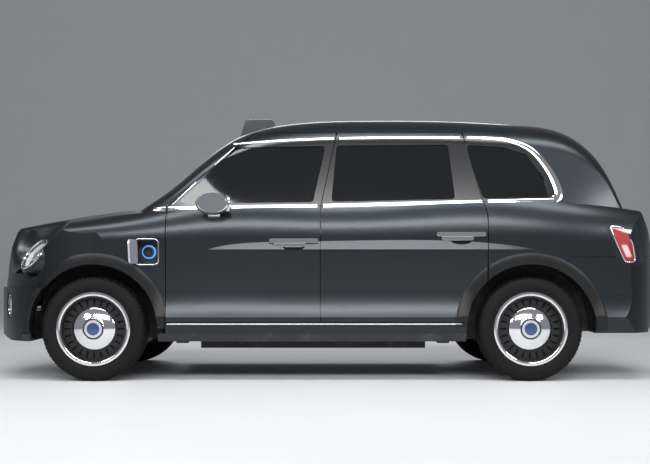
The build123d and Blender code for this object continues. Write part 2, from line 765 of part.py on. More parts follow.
front_bumper = less(
    joined(
        common(skin, block((-2500, -1000, 200), (FRONT_AXLE, 1000, BUMPER_SEAM_FRONT))),
        common(skin, block((-2500, -BONNET_HALF, BUMPER_SEAM_FRONT), (-1900, BONNET_HALF, BONNET_LIP))),
    ),
    arches[0],
    arches[2],
    front_prism(GRILLE, -2500, -1900, corner=GRILLE_CORNER),
    front_prism(INTAKE, -2500, -1900, corner=INTAKE_CORNER),
    block((FLOOR_FRONT, -1000, 200), (FRONT_AXLE, 1000, FLOOR_TOP + SEAT_GAP)),
    *lamp_rooms,
    *fog_rooms,
)
save(front_bumper, "front_bumper")
rear_bumper = less(
    common(skin, block((REAR_BUMPER_X + 3, -1000, FLOOR_TOP + 3), (TAIL_X + 50, 1000, BUMPER_SEAM_REAR - 3))),
    arches[1],
    arches[3],
    tail_lamp_room,
    other_side(tail_lamp_room),
)
save(rear_bumper, "rear_bumper")

# Grille and lower intake: plugs of the nose set back a little, cut into bars
grille_plug = common(skin, front_prism(GRILLE, -2500, -1900, corner=GRILLE_CORNER, grow=-SEAT_GAP))
intake_plug = common(skin, front_prism(INTAKE, -2500, -1900, corner=INTAKE_CORNER, grow=-SEAT_GAP))
with BuildPart() as grille_slots:
    with BuildSketch(across(-2500)):
        slot_high = GRILLE[1][1] - GRILLE[0][1] - 2 * GRILLE_RIM
        with Locations((0, (GRILLE[0][1] + GRILLE[1][1]) / 2)):
            with GridLocations(BAR_PITCH, 1, BAR_COUNT, 1):
                RectangleRounded(BAR_PITCH - BAR_WIDTH, slot_high, BAR_WIDTH)
    extrude(amount=700)
with BuildPart() as intake_slots:
    with BuildSketch(across(-2500)):
        with Locations((0, (INTAKE[0][1] + INTAKE[1][1]) / 2)):
            with GridLocations(1, SLAT_PITCH, 1, SLAT_COUNT):
                Rectangle(2 * INTAKE[1][0] - 2 * GRILLE_RIM, SLAT_PITCH - BAR_WIDTH)
    extrude(amount=700)
save(joined(less(grille_plug, grille_slots.part), less(intake_plug, intake_slots.part)), "grille")

# Lamps
with BuildPart() as front_lamps:
    for side in (-1, 1):
        add(lamp_barrel(side, LAMP_RADIUS, -LAMP_DEPTH, LAMP_DOME))
        add(fog_barrel(side, 0, -FOG_DEPTH, FOG_PROUD))
save(front_lamps.part, "front_lamps")
tail_lamp = common(skin, side_prism(TAIL_LAMP, inner=TAIL_LAMP_INNER, corner=TAIL_LAMP_CORNER))
save(joined(tail_lamp, other_side(tail_lamp)), "tail_lamps")

# Floor, raised at the back over the rear axle, with four square jack pads under the sills
with BuildPart() as floor_pan:
    add(skin)
    add(block((FLOOR_FRONT, -1000, 200), (RISER_X, 1000, FLOOR_TOP)), mode=Mode.INTERSECT)
    for arch in arches:
        add(arch, mode=Mode.SUBTRACT)
    add(block((RISER_X - DECK_WALL, -DECK_HALF, SILL_UNDER), (RISER_X, DECK_HALF, DECK_TOP)))
    add(block((RISER_X - DECK_WALL, -DECK_HALF, DECK_TOP - DECK_WALL), (DECK_REAR, DECK_HALF, DECK_TOP)))
    for x in JACK_PAD_X:
        for y in (-JACK_PAD_Y, JACK_PAD_Y):
            low = (x - JACK_PAD_HALF, y - JACK_PAD_HALF, JACK_PAD_FOOT)
            add(block(low, (x + JACK_PAD_HALF, y + JACK_PAD_HALF, SILL_UNDER + WALL / 2)))
save(floor_pan.part, "floor_pan")

# Wheel arch liners, one shell over each wheel, open towards the front suspension arms
with BuildPart() as wheel_liners:
    for axle, inner in ((FRONT_AXLE, FRONT_ARCH_INNER), (REAR_AXLE, REAR_ARCH_INNER)):
        add(arch_cut(axle, inner, ARCH_RADIUS + LINER_STEP))
        add(arch_cut(axle, inner + LINER_WALL, ARCH_RADIUS + LINER_STEP - LINER_WALL), mode=Mode.SUBTRACT)
    add(block((-3000, -1000, 0), (3000, 0, FLOOR_TOP + SEAT_GAP)), mode=Mode.SUBTRACT)
    add(block((FRONT_AXLE - 80, -500, 0), (FRONT_AXLE + 80, -400, 600)), mode=Mode.SUBTRACT)
    axle_gap = AXLE_TUBE + 15
    axle_low = (REAR_AXLE - axle_gap, -640, 0)
    add(block(axle_low, (REAR_AXLE + axle_gap, -560, TYRE_RADIUS + axle_gap)), mode=Mode.SUBTRACT)
    add(frame_core.moved(Location((0, 0, FLOOR_TOP - SILL_UNDER - FRAME_WALL))), mode=Mode.INTERSECT)
save(joined(wheel_liners.part, other_side(wheel_liners.part)), "wheel_liners")

# Tyres: plain rings with round shoulders. Radius and half width of the section, from bead to tread
TYRE_SECTION = [(RIM_RADIUS, RIM_HALF - 1), (254, RIM_HALF - 0.5), (300, TYRE_WIDTH / 2)]
TYRE_SECTION += [(338, 99), (TYRE_RADIUS, 78)]


def tyre(axle_x):
    """A tyre on the left of the cab."""
    bead, ring_seat, widest, shoulder, tread = TYRE_SECTION
    with BuildPart() as made:
        with BuildSketch(Plane(origin=(axle_x, -TRACK_HALF, TYRE_RADIUS), x_dir=(0, 0, 1), z_dir=(1, 0, 0))):
            with BuildLine():
                Line((bead[0], 0), bead)
                Line(bead, ring_seat)
                ThreePointArc(ring_seat, widest, shoulder)
                TangentArc(shoulder, tread, tangent=(24, -12))
                Line(tread, (tread[0], 0))
                mirror(about=Plane.XZ)
            make_face()
        revolve(axis=Axis((axle_x, 0, TYRE_RADIUS), (0, 1, 0)))
    return made.part


def wheel_ring(axle_x, start, thick, outer_radius, inner_radius=0.0):
    """A disc or ring of a left-hand wheel; start is its inner face, counted outwards from the middle."""
    with BuildPart() as made:
        with BuildSketch(side_plane(-(TRACK_HALF + start))):
            with Locations((axle_x, TYRE_RADIUS)):
                Circle(outer_radius)
                if inner_radius:
                    Circle(inner_radius, mode=Mode.SUBTRACT)
        extrude(amount=thick)
    return made.part


def wheel(axle_x):
    """A slotted steel wheel with its trim ring, domed cap and hub."""
    barrel_radius = RIM_RADIUS - SEAT_GAP
    with BuildPart() as made:
        add(wheel_ring(axle_x, -RIM_HALF, 2 * RIM_HALF, barrel_radius, barrel_radius - RIM_WALL))
        add(wheel_ring(axle_x, RIM_HALF, 6, TRIM_RADIUS, barrel_radius - RIM_WALL - 4))
        add(wheel_ring(axle_x, -RIM_HALF - 6, 6, TRIM_RADIUS - 8, barrel_radius - RIM_WALL))
        add(wheel_ring(axle_x, DISC_FACE - DISC_WALL, DISC_WALL, barrel_radius - RIM_WALL / 2))
        add(wheel_ring(axle_x, -HUB_INNER, HUB_INNER + DISC_FACE, HUB_RADIUS))
        add(wheel_ring(axle_x, -HUB_INNER, BRAKE_WALL, BRAKE_RADIUS))
        with BuildSketch(side_plane(-(TRACK_HALF + DISC_FACE - DISC_WALL - 5))):
            with Locations((axle_x, TYRE_RADIUS)):
                with PolarLocations(SLOT_CIRCLE, SLOT_COUNT):
                    SlotOverall(SLOT_LENGTH, SLOT_WIDTH)
        extrude(amount=DISC_WALL + 10, mode=Mode.SUBTRACT)
        with Locations(Location((axle_x, -(TRACK_HALF + DISC_FACE - 2), TYRE_RADIUS), (90, 0, 0))):
            Cone(CAP_RADIUS, CAP_TOP_RADIUS, CAP_RISE, align=(Align.CENTER, Align.CENTER, Align.MIN))
    return made.part


tyres, wheels = {}, {}
for place, axle in (("front", FRONT_AXLE), ("rear", REAR_AXLE)):
    tyres[place], wheels[place] = tyre(axle), wheel(axle)
    save(tyres[place], f"tyre_{place}_left")
    save(other_side(tyres[place]), f"tyre_{place}_right")
    save(wheels[place], f"wheel_{place}_left")
    save(other_side(wheels[place]), f"wheel_{place}_right")

# Knuckles: an upright with its hub flange and brake caliper, turning about the two ball joints
hub_face = TRACK_HALF - HUB_INNER - SEAT_GAP
with BuildPart() as knuckle:
    add(
        block(
            (FRONT_AXLE - 30, -KING_PIN - UPRIGHT_HALF, KNUCKLE_FOOT),
            (FRONT_AXLE + 30, -KING_PIN + UPRIGHT_HALF, KNUCKLE_HEAD),
        )
    )
    add(wheel_ring(FRONT_AXLE, KING_PIN - TRACK_HALF, hub_face - KING_PIN, HUB_RADIUS))
    add(
        block(
            (FRONT_AXLE, -hub_face, TYRE_RADIUS - 45),
            (FRONT_AXLE + BRAKE_RADIUS - 20, -KING_PIN + UPRIGHT_HALF, TYRE_RADIUS + 45),
        )
    )
save(knuckle.part, "knuckle_left")
save(other_side(knuckle.part), "knuckle_right")

# Front suspension: a beam below the floor with the lower arms, and a tower with the upper arm on each side
beam_top = SILL_UNDER - SEAT_GAP
with BuildPart() as front_suspension:
    add(block((FRONT_AXLE - 190, -BEAM_HALF, BEAM_FOOT), (FRONT_AXLE + 190, BEAM_HALF, beam_top)))
    for side in (-1, 1):
        for z, thick in ((KNUCKLE_FOOT - SEAT_GAP - ARM_WALL, ARM_WALL), (KNUCKLE_HEAD + SEAT_GAP, ARM_WALL)):
            with BuildSketch(Plane.XY.offset(z)):
                with BuildLine():
                    Polyline(
                        (FRONT_AXLE - 28, side * KING_PIN),
                        (FRONT_AXLE - 60, side * (BEAM_HALF - 20)),
                        (FRONT_AXLE + 60, side * (BEAM_HALF - 20)),
                        (FRONT_AXLE + 28, side * KING_PIN),
                        close=True,
                    )
                make_face()
                with Locations((FRONT_AXLE, side * KING_PIN)):
                    Circle(28)
            extrude(amount=thick)
        low, high = sorted((side * (BEAM_HALF - 40), side * BEAM_HALF))
        tower_top = KNUCKLE_HEAD + SEAT_GAP + ARM_WALL
        add(block((FRONT_AXLE - 60, low, FLOOR_TOP + SEAT_GAP), (FRONT_AXLE + 60, high, tower_top)))
save(front_suspension.part, "front_suspension")

# Rear axle: motor housing, cross tube and the arms that reach forward to the floor
with BuildPart() as rear_axle:
    with Locations(Location((REAR_AXLE, 0, TYRE_RADIUS), (90, 0, 0))):
        Cylinder(AXLE_TUBE, 2 * hub_face)
        Cylinder(MOTOR_RADIUS, MOTOR_LENGTH)
    for side in (-1, 1):
        low, high = sorted((side * 470, side * 520))
        add(block((RISER_X + SEAT_GAP, low, TYRE_RADIUS - 30), (REAR_AXLE, high, TYRE_RADIUS + 30)))
save(rear_axle.part, "rear_axle")

# Heavy masses: the battery under the floor, the engine and its radiator
save(block((-900, -560, BATTERY_FOOT), (700, 560, SILL_UNDER - SEAT_GAP)), "battery_pack")
engine = block((-1990, -330, FLOOR_TOP + SEAT_GAP), (-1480, 330, 900))
radiator = block((-2090, -330, FLOOR_TOP + SEAT_GAP), (-2050, 330, 900))
save(joined(engine, radiator), "engine")

# Roof sign: a blank wedge
with BuildPart() as roof_sign:
    with BuildSketch(side_plane(-SIGN_HALF)):
        with BuildLine():
            Polyline(*SIGN_PROFILE, close=True)
        make_face()
    extrude(amount=-2 * SIGN_HALF)
    end_edges = roof_sign.edges().filter_by(Axis.Z, reverse=True).filter_by(Axis.Y, reverse=True)
    fillet(end_edges.group_by(Axis.Z)[-1], 12)
    add(outer.moved(Location((0, 0, SEAT_GAP))), mode=Mode.SUBTRACT)
save(roof_sign.part, "roof_sign")

# Mirrors: an egg-shaped shell on a short arm that stands on the front door
with BuildPart() as mirror_shell:
    for half, length, height in MIRROR_SECTIONS:
        with BuildSketch(side_plane(-half)):
            with Locations(MIRROR_CENTRE):
                Ellipse(length / 2, height / 2)
    loft()
    add(block((MIRROR_CENTRE[0] - 40, -915, 1120), (MIRROR_CENTRE[0] + 40, -850, 1185)))
    add(doors["front"].moved(Location((0, -SEAT_GAP, 0))), mode=Mode.SUBTRACT)
mirror_solid = mirror_shell.part.solids().sort_by(SortBy.VOLUME)[-1]
save(joined(mirror_solid), "mirror_left")
save(other_side(joined(mirror_solid)), "mirror_right")

# Dashboard, from the bulkhead to the driver's knees, with the shroud that holds the steering column
steering_axis = (cos(STEERING_RAKE), 0, sin(STEERING_RAKE))
steering_plane = Plane(origin=STEERING_CENTRE, x_dir=(0, 1, 0), z_dir=steering_axis)
with BuildPart() as dashboard:
    with Locations(steering_plane.offset(-COLUMN_LENGTH - SEAT_GAP)):
        Cylinder(COLUMN_RADIUS + 10, 70, align=(Align.CENTER, Align.CENTER, Align.MAX))
    with BuildSketch(side_plane(-DASH_HALF)):
        with BuildLine():
            Polyline(*DASH_PROFILE, close=True)
        make_face()
    extrude(amount=-2 * DASH_HALF)
    add(block((BULKHEAD_X + BULKHEAD_WALL + SEAT_GAP, -130, FLOOR_TOP + SEAT_GAP), (-820, 130, 760)))
save(dashboard.part, "dashboard")

# Steering wheel on its column, in front of the right-hand seat
with BuildPart() as steering_wheel:
    with Locations(steering_plane):
        Torus(STEERING_RADIUS, 15)
        Cylinder(55, 34)
        Box(34, 2 * STEERING_RADIUS, 16)
        Cylinder(COLUMN_RADIUS, COLUMN_LENGTH, align=(Align.CENTER, Align.CENTER, Align.MAX))
save(steering_wheel.part, "steering_wheel")


def seat(x, y, width, profile):
    """A seat made from its side profile; x is the front of its base."""
    with BuildPart() as made:
        with BuildSketch(side_plane(y + width / 2)) as face:
            with BuildLine():
                Polyline(*[(x + along, height) for along, height in profile], close=True)
            make_face()
            fillet(face.vertices().group_by(Axis.Y)[-1], 30)
        extrude(amount=width)
    return made.part


with BuildPart() as driver_seat:
    add(seat(DRIVER_X, DRIVER_Y, 500, DRIVER_PROFILE))
    with Locations((DRIVER_X + 560, DRIVER_Y, 1310)):
        Box(90, 260, 150)
save(driver_seat.part, "driver_seat")

with BuildPart() as rear_bench:
    add(seat(BENCH_X, 0, 2 * BENCH_HALF, BENCH_PROFILE))
    with Locations(*[(BENCH_X + 545, y, 1310) for y in (-360, 0, 360)]):
        Box(90, 240, 150)
save(rear_bench.part, "rear_bench")

# Partition behind the driver, with its window and two folded jump seats
with BuildPart() as partition:
    with BuildSketch(across(PARTITION_X)) as partition_face:
        with BuildLine():
            partition_foot = FLOOR_TOP + SEAT_GAP
            Polyline((0, partition_foot), (690, partition_foot), (690, 1150), (570, 1640), (0, 1640))
            mirror(about=Plane.YZ)
        make_face()
        with Locations((0, 1330)):
            RectangleRounded(1000, 420, 50, mode=Mode.SUBTRACT)
    extrude(amount=PARTITION_WALL)
    for y in (-360, 360):
        with Locations((PARTITION_X + PARTITION_WALL + 50, y, 720)):
            Box(102, 430, 480)
    fillet(partition.faces().sort_by(Axis.X)[-1].edges(), 25)
save(partition.part, "partition")
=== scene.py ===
from math import cos, hypot, pi, radians, sin

import bmesh
import bpy
from mathutils import Matrix, Vector
from mathutils.bvhtree import BVHTree


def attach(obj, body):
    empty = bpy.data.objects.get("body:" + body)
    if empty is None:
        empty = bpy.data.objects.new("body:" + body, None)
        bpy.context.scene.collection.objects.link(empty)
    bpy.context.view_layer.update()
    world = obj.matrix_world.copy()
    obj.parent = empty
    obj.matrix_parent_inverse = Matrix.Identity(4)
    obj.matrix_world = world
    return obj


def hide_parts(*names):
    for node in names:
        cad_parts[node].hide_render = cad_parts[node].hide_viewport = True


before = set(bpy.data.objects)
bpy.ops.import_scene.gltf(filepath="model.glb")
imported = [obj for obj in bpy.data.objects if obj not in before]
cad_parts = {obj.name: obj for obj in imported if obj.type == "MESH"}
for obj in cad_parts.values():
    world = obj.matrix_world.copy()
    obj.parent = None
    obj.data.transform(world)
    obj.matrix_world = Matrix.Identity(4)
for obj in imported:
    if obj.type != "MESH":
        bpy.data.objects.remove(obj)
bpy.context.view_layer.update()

# The studio: a pale floor that curves up into a pale wall, large soft lamps on all sides, and a
# level camera as high as the tops of the wheels, square to the cab's left side.
scene = bpy.context.scene
scene.view_settings.view_transform = "Standard"


class Wire:
    """A socket of a finish, which can be added, taken away and scaled like a number."""

    def __init__(self, socket):
        self.socket = socket
        self.tree = socket.id_data

    def node(self, kind, settings=(), sockets=(), out=0):
        """Any other node: its settings first, then the values or wires of its sockets."""
        made = self.tree.nodes.new(kind)
        for key, value in dict(settings).items():
            setattr(made, key, value)
        for key, value in dict(sockets).items():
            if isinstance(value, Wire):
                self.tree.links.new(value.socket, made.inputs[key])
            else:
                made.inputs[key].default_value = value
        return Wire(made.outputs[out])

    def math(self, operation, *others):
        return self.node("ShaderNodeMath", {"operation": operation}, dict(enumerate((self, *others))))

    def __add__(self, other):
        return self.math("ADD", other)

    __radd__ = __add__

    def __sub__(self, other):
        return self.math("SUBTRACT", other)

    def __rsub__(self, other):
        return self.node("ShaderNodeMath", {"operation": "SUBTRACT"}, {0: other, 1: self})

    def __mul__(self, other):
        return self.math("MULTIPLY", other)

    def within(self):
        """The value kept between 0 and 1."""
        return self.math("MAXIMUM", 0.0).math("MINIMUM", 1.0)

    def noise(self, scale, detail=2.0):
        """Cloudy noise at this place, scale in cells per metre."""
        return self.node("ShaderNodeTexNoise", (), {"Vector": self, "Scale": scale, "Detail": detail})

    def blend(self, first, second):
        """Two colours mixed by this mask."""
        return self.node("ShaderNodeMix", {"data_type": "RGBA"}, {0: self, 6: first, 7: second}, out=2)


def rgb(red, green, blue):
    return (red, green, blue, 1.0)


def new_finish(name, colour, rough, metal=0.0, **constants):
    """A finish with plain values to begin with, and the place on the object that its nodes start from."""
    finish = bpy.data.materials.new(name)
    finish.use_nodes = True
    shader = finish.node_tree.nodes["Principled BSDF"]
    values = {"Base Color": rgb(*colour), "Roughness": rough, "Metallic": metal}
    values.update({key.replace("_", " "): value for key, value in constants.items()})
    for key, value in values.items():
        shader.inputs[key].default_value = value
    place = finish.node_tree.nodes.new("ShaderNodeTexCoord")
    return finish, Wire(place.outputs["Object"])


def feed(finish, bump=None, height=0.0, **wires):
    """Joins wires to a finish's shader; bump is a wire whose relief is height metres deep."""
    shader = finish.node_tree.nodes["Principled BSDF"]
    for key, wire in wires.items():
        finish.node_tree.links.new(wire.socket, shader.inputs[key.replace("_", " ")])
    if bump:
        relief = bump.node("ShaderNodeBump", (), {"Height": bump, "Distance": height})
        finish.node_tree.links.new(relief.socket, shader.inputs["Normal"])


CAMERA_SPOT = (-0.015, -7.96, 0.74)
camera = bpy.data.objects.new("camera", bpy.data.cameras.new("camera"))
camera.location = CAMERA_SPOT
camera.rotation_euler = (pi / 2, 0, 0)
camera.data.sensor_width = 36.0
camera.data.lens = 57.4
camera.data.shift_y = 0.063
scene.collection.objects.link(camera)
scene.camera = camera

floor_finish, floor_place = new_finish("studio_floor", (0.72, 0.73, 0.74), 0.55)
floor_tone = floor_place.noise(1.5, 3.0)
feed(floor_finish, Base_Color=floor_tone.blend(rgb(0.70, 0.71, 0.72), rgb(0.74, 0.75, 0.76)))
FLOOR_HALF, WALL_AT, WALL_HIGH = 26.0, 22.0, 14.0
BEND, BEND_STEPS = 4.0, 12
sweep = [(-FLOOR_HALF, 0.0), (WALL_AT - BEND, 0.0)]
for step in range(1, BEND_STEPS + 1):
    angle = step * pi / (2 * BEND_STEPS)
    sweep.append((WALL_AT - BEND + BEND * sin(angle), BEND - BEND * cos(angle)))
sweep.append((WALL_AT, WALL_HIGH))
backdrop_mesh = bpy.data.meshes.new("backdrop")
backdrop_mesh.from_pydata(
    [(side * FLOOR_HALF, y, z) for y, z in sweep for side in (-1, 1)],
    [],
    [(2 * i, 2 * i + 1, 2 * i + 3, 2 * i + 2) for i in range(len(sweep) - 1)],
)
backdrop_mesh.polygons.foreach_set("use_smooth", [True] * len(backdrop_mesh.polygons))
backdrop_mesh.materials.append(floor_finish)
backdrop = bpy.data.objects.new("backdrop", backdrop_mesh)
scene.collection.objects.link(backdrop)

world = bpy.data.worlds.new("studio")
world.use_nodes = True
world.node_tree.nodes["Background"].inputs["Color"].default_value = rgb(0.78, 0.82, 0.88)
world.node_tree.nodes["Background"].inputs["Strength"].default_value = 0.32
scene.world = world

# where it hangs, what it faces, its width and height in metres, and its power
LAMPS = {
    "overhead": ((0.0, -2.4, 4.3), (0.0, 0.0, 0.9), 6.5, 0.9, 160.0),
    "side": ((0.0, -8.2, 4.6), (0.0, 0.0, 1.6), 6.5, 1.6, 400.0),
    "front_left": ((-4.5, -5.5, 3.4), (-0.6, 0.0, 0.8), 1.6, 1.0, 100.0),
    "rear_left": ((4.8, -5.0, 3.0), (0.8, 0.0, 0.8), 1.4, 1.0, 90.0),
    "far_side": ((0.0, 5.5, 3.8), (0.0, 0.0, 0.8), 5.0, 1.6, 120.0),
}
for name, (spot, target, width, height, power) in LAMPS.items():
    lamp = bpy.data.objects.new(name, bpy.data.lights.new(name, "AREA"))
    lamp.data.shape = "RECTANGLE"
    lamp.data.size, lamp.data.size_y, lamp.data.energy = width, height, power
    lamp.location = spot
    lamp.rotation_euler = (Vector(target) - Vector(spot)).to_track_quat("-Z", "Y").to_euler()
    scene.collection.objects.link(lamp)


def separated(spot):
    """The X, Y and Z of a place on the object, in metres."""
    return [spot.node("ShaderNodeSeparateXYZ", (), {0: spot}, out=i) for i in range(3)]


def depth_inside(x, z, lines):
    """How far a place lies inside the nearest of the lines: each a point and the way in, in X and Z."""
    depth = None
    for line_x, line_z, run, climb in lines:
        reach = hypot(run, climb)
        inside = (x - line_x) * (run / reach) + (z - line_z) * (climb / reach)
        depth = inside if depth is None else depth.math("MINIMUM", inside)
    return depth


# Body panels: pressed aluminium, sprayed near-black grey with fine metal flake under clear lacquer.
# The frames round the side windows are gloss black, and road dust gathers low down on the sills.
paint, spot = new_finish("body_paint", (0.02, 0.025, 0.03), 0.36, 0.85, Coat_Weight=0.35, Coat_Roughness=0.2)
x, y, z = separated(spot)
# How fast a painted edge comes in, per metre; panels farther out than this are sides, not the roof
EDGE_RISE, SIDE_FROM, SIDE_RISE = 900.0, 0.62, 200.0
# The window band lies inside these lines
BAND_EDGES = [
    (-1.191, 1.180, -0.0224, 1.0),
    (0.068, 1.676, 0.047, -1.0),
    (0.923, 1.682, 0.0, -1.0),
    (1.236, 1.678, -0.466, -1.0),
    (1.444, 1.581, -1.356, -1.0),
    (1.562, 1.421, -4.42, -1.0),
    (-1.080, 1.190, 1.0, -1.0),
]
on_a_side = ((y.math("ABSOLUTE") - SIDE_FROM) * SIDE_RISE).within()
band = (depth_inside(x, z, BAND_EDGES) * EDGE_RISE).within() * on_a_side
FLAKES_PER_METRE = 1400.0
flake = spot.node("ShaderNodeTexVoronoi", (), {"Vector": spot, "Scale": FLAKES_PER_METRE}, out=1)
flake_light = flake.node("ShaderNodeSeparateColor", (), {0: flake})
base = flake_light.blend(rgb(0.012, 0.016, 0.020), rgb(0.030, 0.039, 0.048))
DUST_TOP, DUST_RISE, DUST_MOST = 0.50, 2.2, 0.2
dust = ((DUST_TOP - z) * DUST_RISE).within() * spot.noise(9.0, 5.0) * DUST_MOST
panel_colour = dust.within().blend(base, rgb(0.05, 0.048, 0.045))
feed(
    paint,
    Base_Color=band.blend(panel_colour, rgb(0.005, 0.005, 0.006)),
    Roughness=0.33 + dust * 0.5 - band * 0.15,
    Metallic=0.85 - band * 0.85,
    Coat_Weight=(0.35 - dust).within(),
)


def dress(finish, *nodes):
    """Puts a finish on CAD nodes, which keep their own meshes."""
    for node in nodes:
        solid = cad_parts[node]
        solid.data.materials.clear()
        solid.data.materials.append(finish)


SIDES = (("left", -1), ("right", 1))
for side, _ in SIDES:
    dress(paint, f"body_side_{side}", f"door_front_{side}", f"door_rear_{side}", f"front_wing_{side}")
dress(paint, "bonnet", "roof", "tailgate", "front_bumper", "rear_bumper")

# Glass: curved safety glass, tinted dark grey, with a faint haze of dust that scatters light.
# It covers the door windows, the fixed panes and the screen in the tailgate.
glass, spot = new_finish(
    "tinted_glass", (0.006, 0.007, 0.008), 0.04, Alpha=0.74, Coat_Weight=0.4, Coat_Roughness=0.01, IOR=1.45
)
haze = spot.noise(3.0, 4.0)
feed(glass, Roughness=0.02 + haze * 0.06)
for side, _ in SIDES:
    dress(glass, f"glass_front_{side}", f"glass_rear_{side}")
dress(glass, "fixed_glass", "rear_screen")

# Running gear and floor: cast and pressed steel below the body, bare with spots of rust or coated
# black and dusty, and an engine of cast alloy.
cast, spot = new_finish("cast_steel", (0.12, 0.12, 0.12), 0.55, 0.8)
grit = spot.noise(220.0, 4.0)
rust = ((spot.noise(14.0, 5.0) - 0.55) * 4.0).within()
feed(
    cast,
    bump=grit,
    height=0.0006,
    Base_Color=rust.blend(rgb(0.11, 0.11, 0.115), rgb(0.10, 0.062, 0.042)),
    Roughness=0.45 + rust * 0.35,
)
for side, _ in SIDES:
    dress(cast, f"knuckle_{side}")
dress(cast, "front_suspension", "rear_axle")

undercoat, spot = new_finish("undercoat", (0.03, 0.03, 0.033), 0.8)
splash = spot.noise(12.0, 6.0)
feed(
    undercoat,
    bump=spot.noise(350.0, 3.0),
    height=0.0008,
    Base_Color=((splash - 0.5) * 3.0).within().blend(rgb(0.022, 0.022, 0.025), rgb(0.07, 0.065, 0.058)),
    Roughness=0.7 + splash * 0.25,
)
dress(undercoat, "floor_pan", "bulkhead", "wheel_liners", "battery_pack")

alloy, spot = new_finish("cast_alloy", (0.42, 0.43, 0.44), 0.42, 1.0)
feed(alloy, bump=spot.noise(300.0, 3.0), height=0.0004, Roughness=0.34 + spot.noise(25.0, 4.0) * 0.3)
dress(alloy, "engine")

# Moulded plastics: grained black for the dashboard, the steering wheel, the socket and the seats'
# bases, and a paler grey for the partition.
grain, spot = new_finish("grained_plastic", (0.028, 0.028, 0.031), 0.55)
pebble = spot.node("ShaderNodeTexVoronoi", {"feature": "SMOOTH_F1"}, {"Vector": spot, "Scale": 700.0})
feed(
    grain,
    bump=pebble,
    height=0.0003,
    Base_Color=spot.noise(18.0, 4.0).blend(rgb(0.022, 0.022, 0.025), rgb(0.038, 0.038, 0.041)),
    Roughness=0.48 + pebble * 0.2,
)
dress(grain, "dashboard", "charge_socket", "steering_wheel")
grey_trim, spot = new_finish("grey_trim", (0.11, 0.11, 0.12), 0.6)
feed(
    grey_trim,
    bump=spot.noise(800.0, 2.0),
    height=0.0002,
    Base_Color=spot.noise(10.0, 4.0).blend(rgb(0.10, 0.10, 0.11), rgb(0.13, 0.13, 0.135)),
)
dress(grey_trim, "partition")


def smooth_edges(bm, crisp):
    """Smooth shading that breaks at edges sharper than crisp degrees."""
    for face in bm.faces:
        face.smooth = True
    for edge in bm.edges:
        edge.smooth = len(edge.link_faces) == 2 and edge.calc_face_angle() < radians(crisp)


def piece(name, points, faces, finish, body, slot, crisp=35.0):
    """One new piece: a clean closed mesh in the cab's own frame, its finish and body; slot is not used."""
    mesh = bpy.data.meshes.new(name)
    mesh.from_pydata([tuple(p) for p in points], [], faces)
    bm = bmesh.new()
    bm.from_mesh(mesh)
    bmesh.ops.remove_doubles(bm, verts=bm.verts, dist=1e-5)
    bmesh.ops.dissolve_degenerate(bm, edges=bm.edges, dist=1e-6)
    bmesh.ops.recalc_face_normals(bm, faces=bm.faces)
    smooth_edges(bm, crisp)
    bm.to_mesh(mesh)
    bm.free()
    mesh.materials.append(finish)
    made = bpy.data.objects.new(name, mesh)
    scene.collection.objects.link(made)
    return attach(made, body)


def ring_faces(rings, around, ends="capped"):
    """Faces from each ring of points to the next; the ends are "capped", "open" or "joined" to each other."""
    faces = []
    for ring in range(rings if ends == "joined" else rings - 1):
        here, there = ring * around, (ring + 1) % rings * around
        for i in range(around):
            after = (i + 1) % around
            faces.append((here + i, here + after, there + after, there + i))
    if ends == "capped":
        faces.append(tuple(range(around)))
        faces.append(tuple((rings - 1) * around + i for i in reversed(range(around))))
    return faces


# Tyres: black rubber on the rims, with four grooves round the tread, cross cuts in the shoulder
# ribs, and raised rings on the sidewalls. The tread is a little grey from the road.
rubber, spot = new_finish("tyre_rubber", (0.006, 0.006, 0.006), 0.75, Specular_IOR_Level=0.18)
wear = spot.noise(30.0, 5.0)
feed(
    rubber,
    bump=spot.noise(900.0, 2.0),
    height=0.0002,
    Base_Color=wear.blend(rgb(0.003, 0.003, 0.0032), rgb(0.008, 0.0078, 0.0075)),
    Roughness=0.58 + wear * 0.25,
)
WHEEL_X = {"front": -1.596, "rear": 1.389}
TRACK_HALF, AXLE_HIGH = 0.795, 0.357
# Half of the section from the middle of the tread to the bead: radius, distance from the middle
TYRE_HALF = [
    (0.3570, 0.000), (0.3570, 0.011), (0.3495, 0.012), (0.3495, 0.019), (0.3570, 0.020),
    (0.3568, 0.041), (0.3495, 0.042), (0.3495, 0.050), (0.3566, 0.051), (0.3562, 0.066),
    (0.3550, 0.077), (0.3500, 0.086), (0.3440, 0.0925), (0.3370, 0.0985), (0.3270, 0.1030),
    (0.3255, 0.1045), (0.3220, 0.1045), (0.3205, 0.1050), (0.3100, 0.1068), (0.3000, 0.1072),
    (0.2880, 0.1060), (0.2865, 0.1070), (0.2835, 0.1066), (0.2820, 0.1045), (0.2700, 0.1008),
    (0.2620, 0.0972), (0.2600, 0.0980), (0.2575, 0.0970), (0.2560, 0.0940), (0.2535, 0.0930),
    (0.2286, 0.0920),
]
BLOCKS, CUT_DEPTH = 72, 0.0040
# Shares of a block's length, and whether the shoulder is cut there
BLOCK_STEPS = ((0.0, 0), (0.74, 0), (0.78, 1), (0.96, 1))
# The shoulder rib lies between these distances from the middle, above this radius
SHOULDER_FROM, SHOULDER_TO, SHOULDER_RADIUS = 0.050, 0.093, 0.343


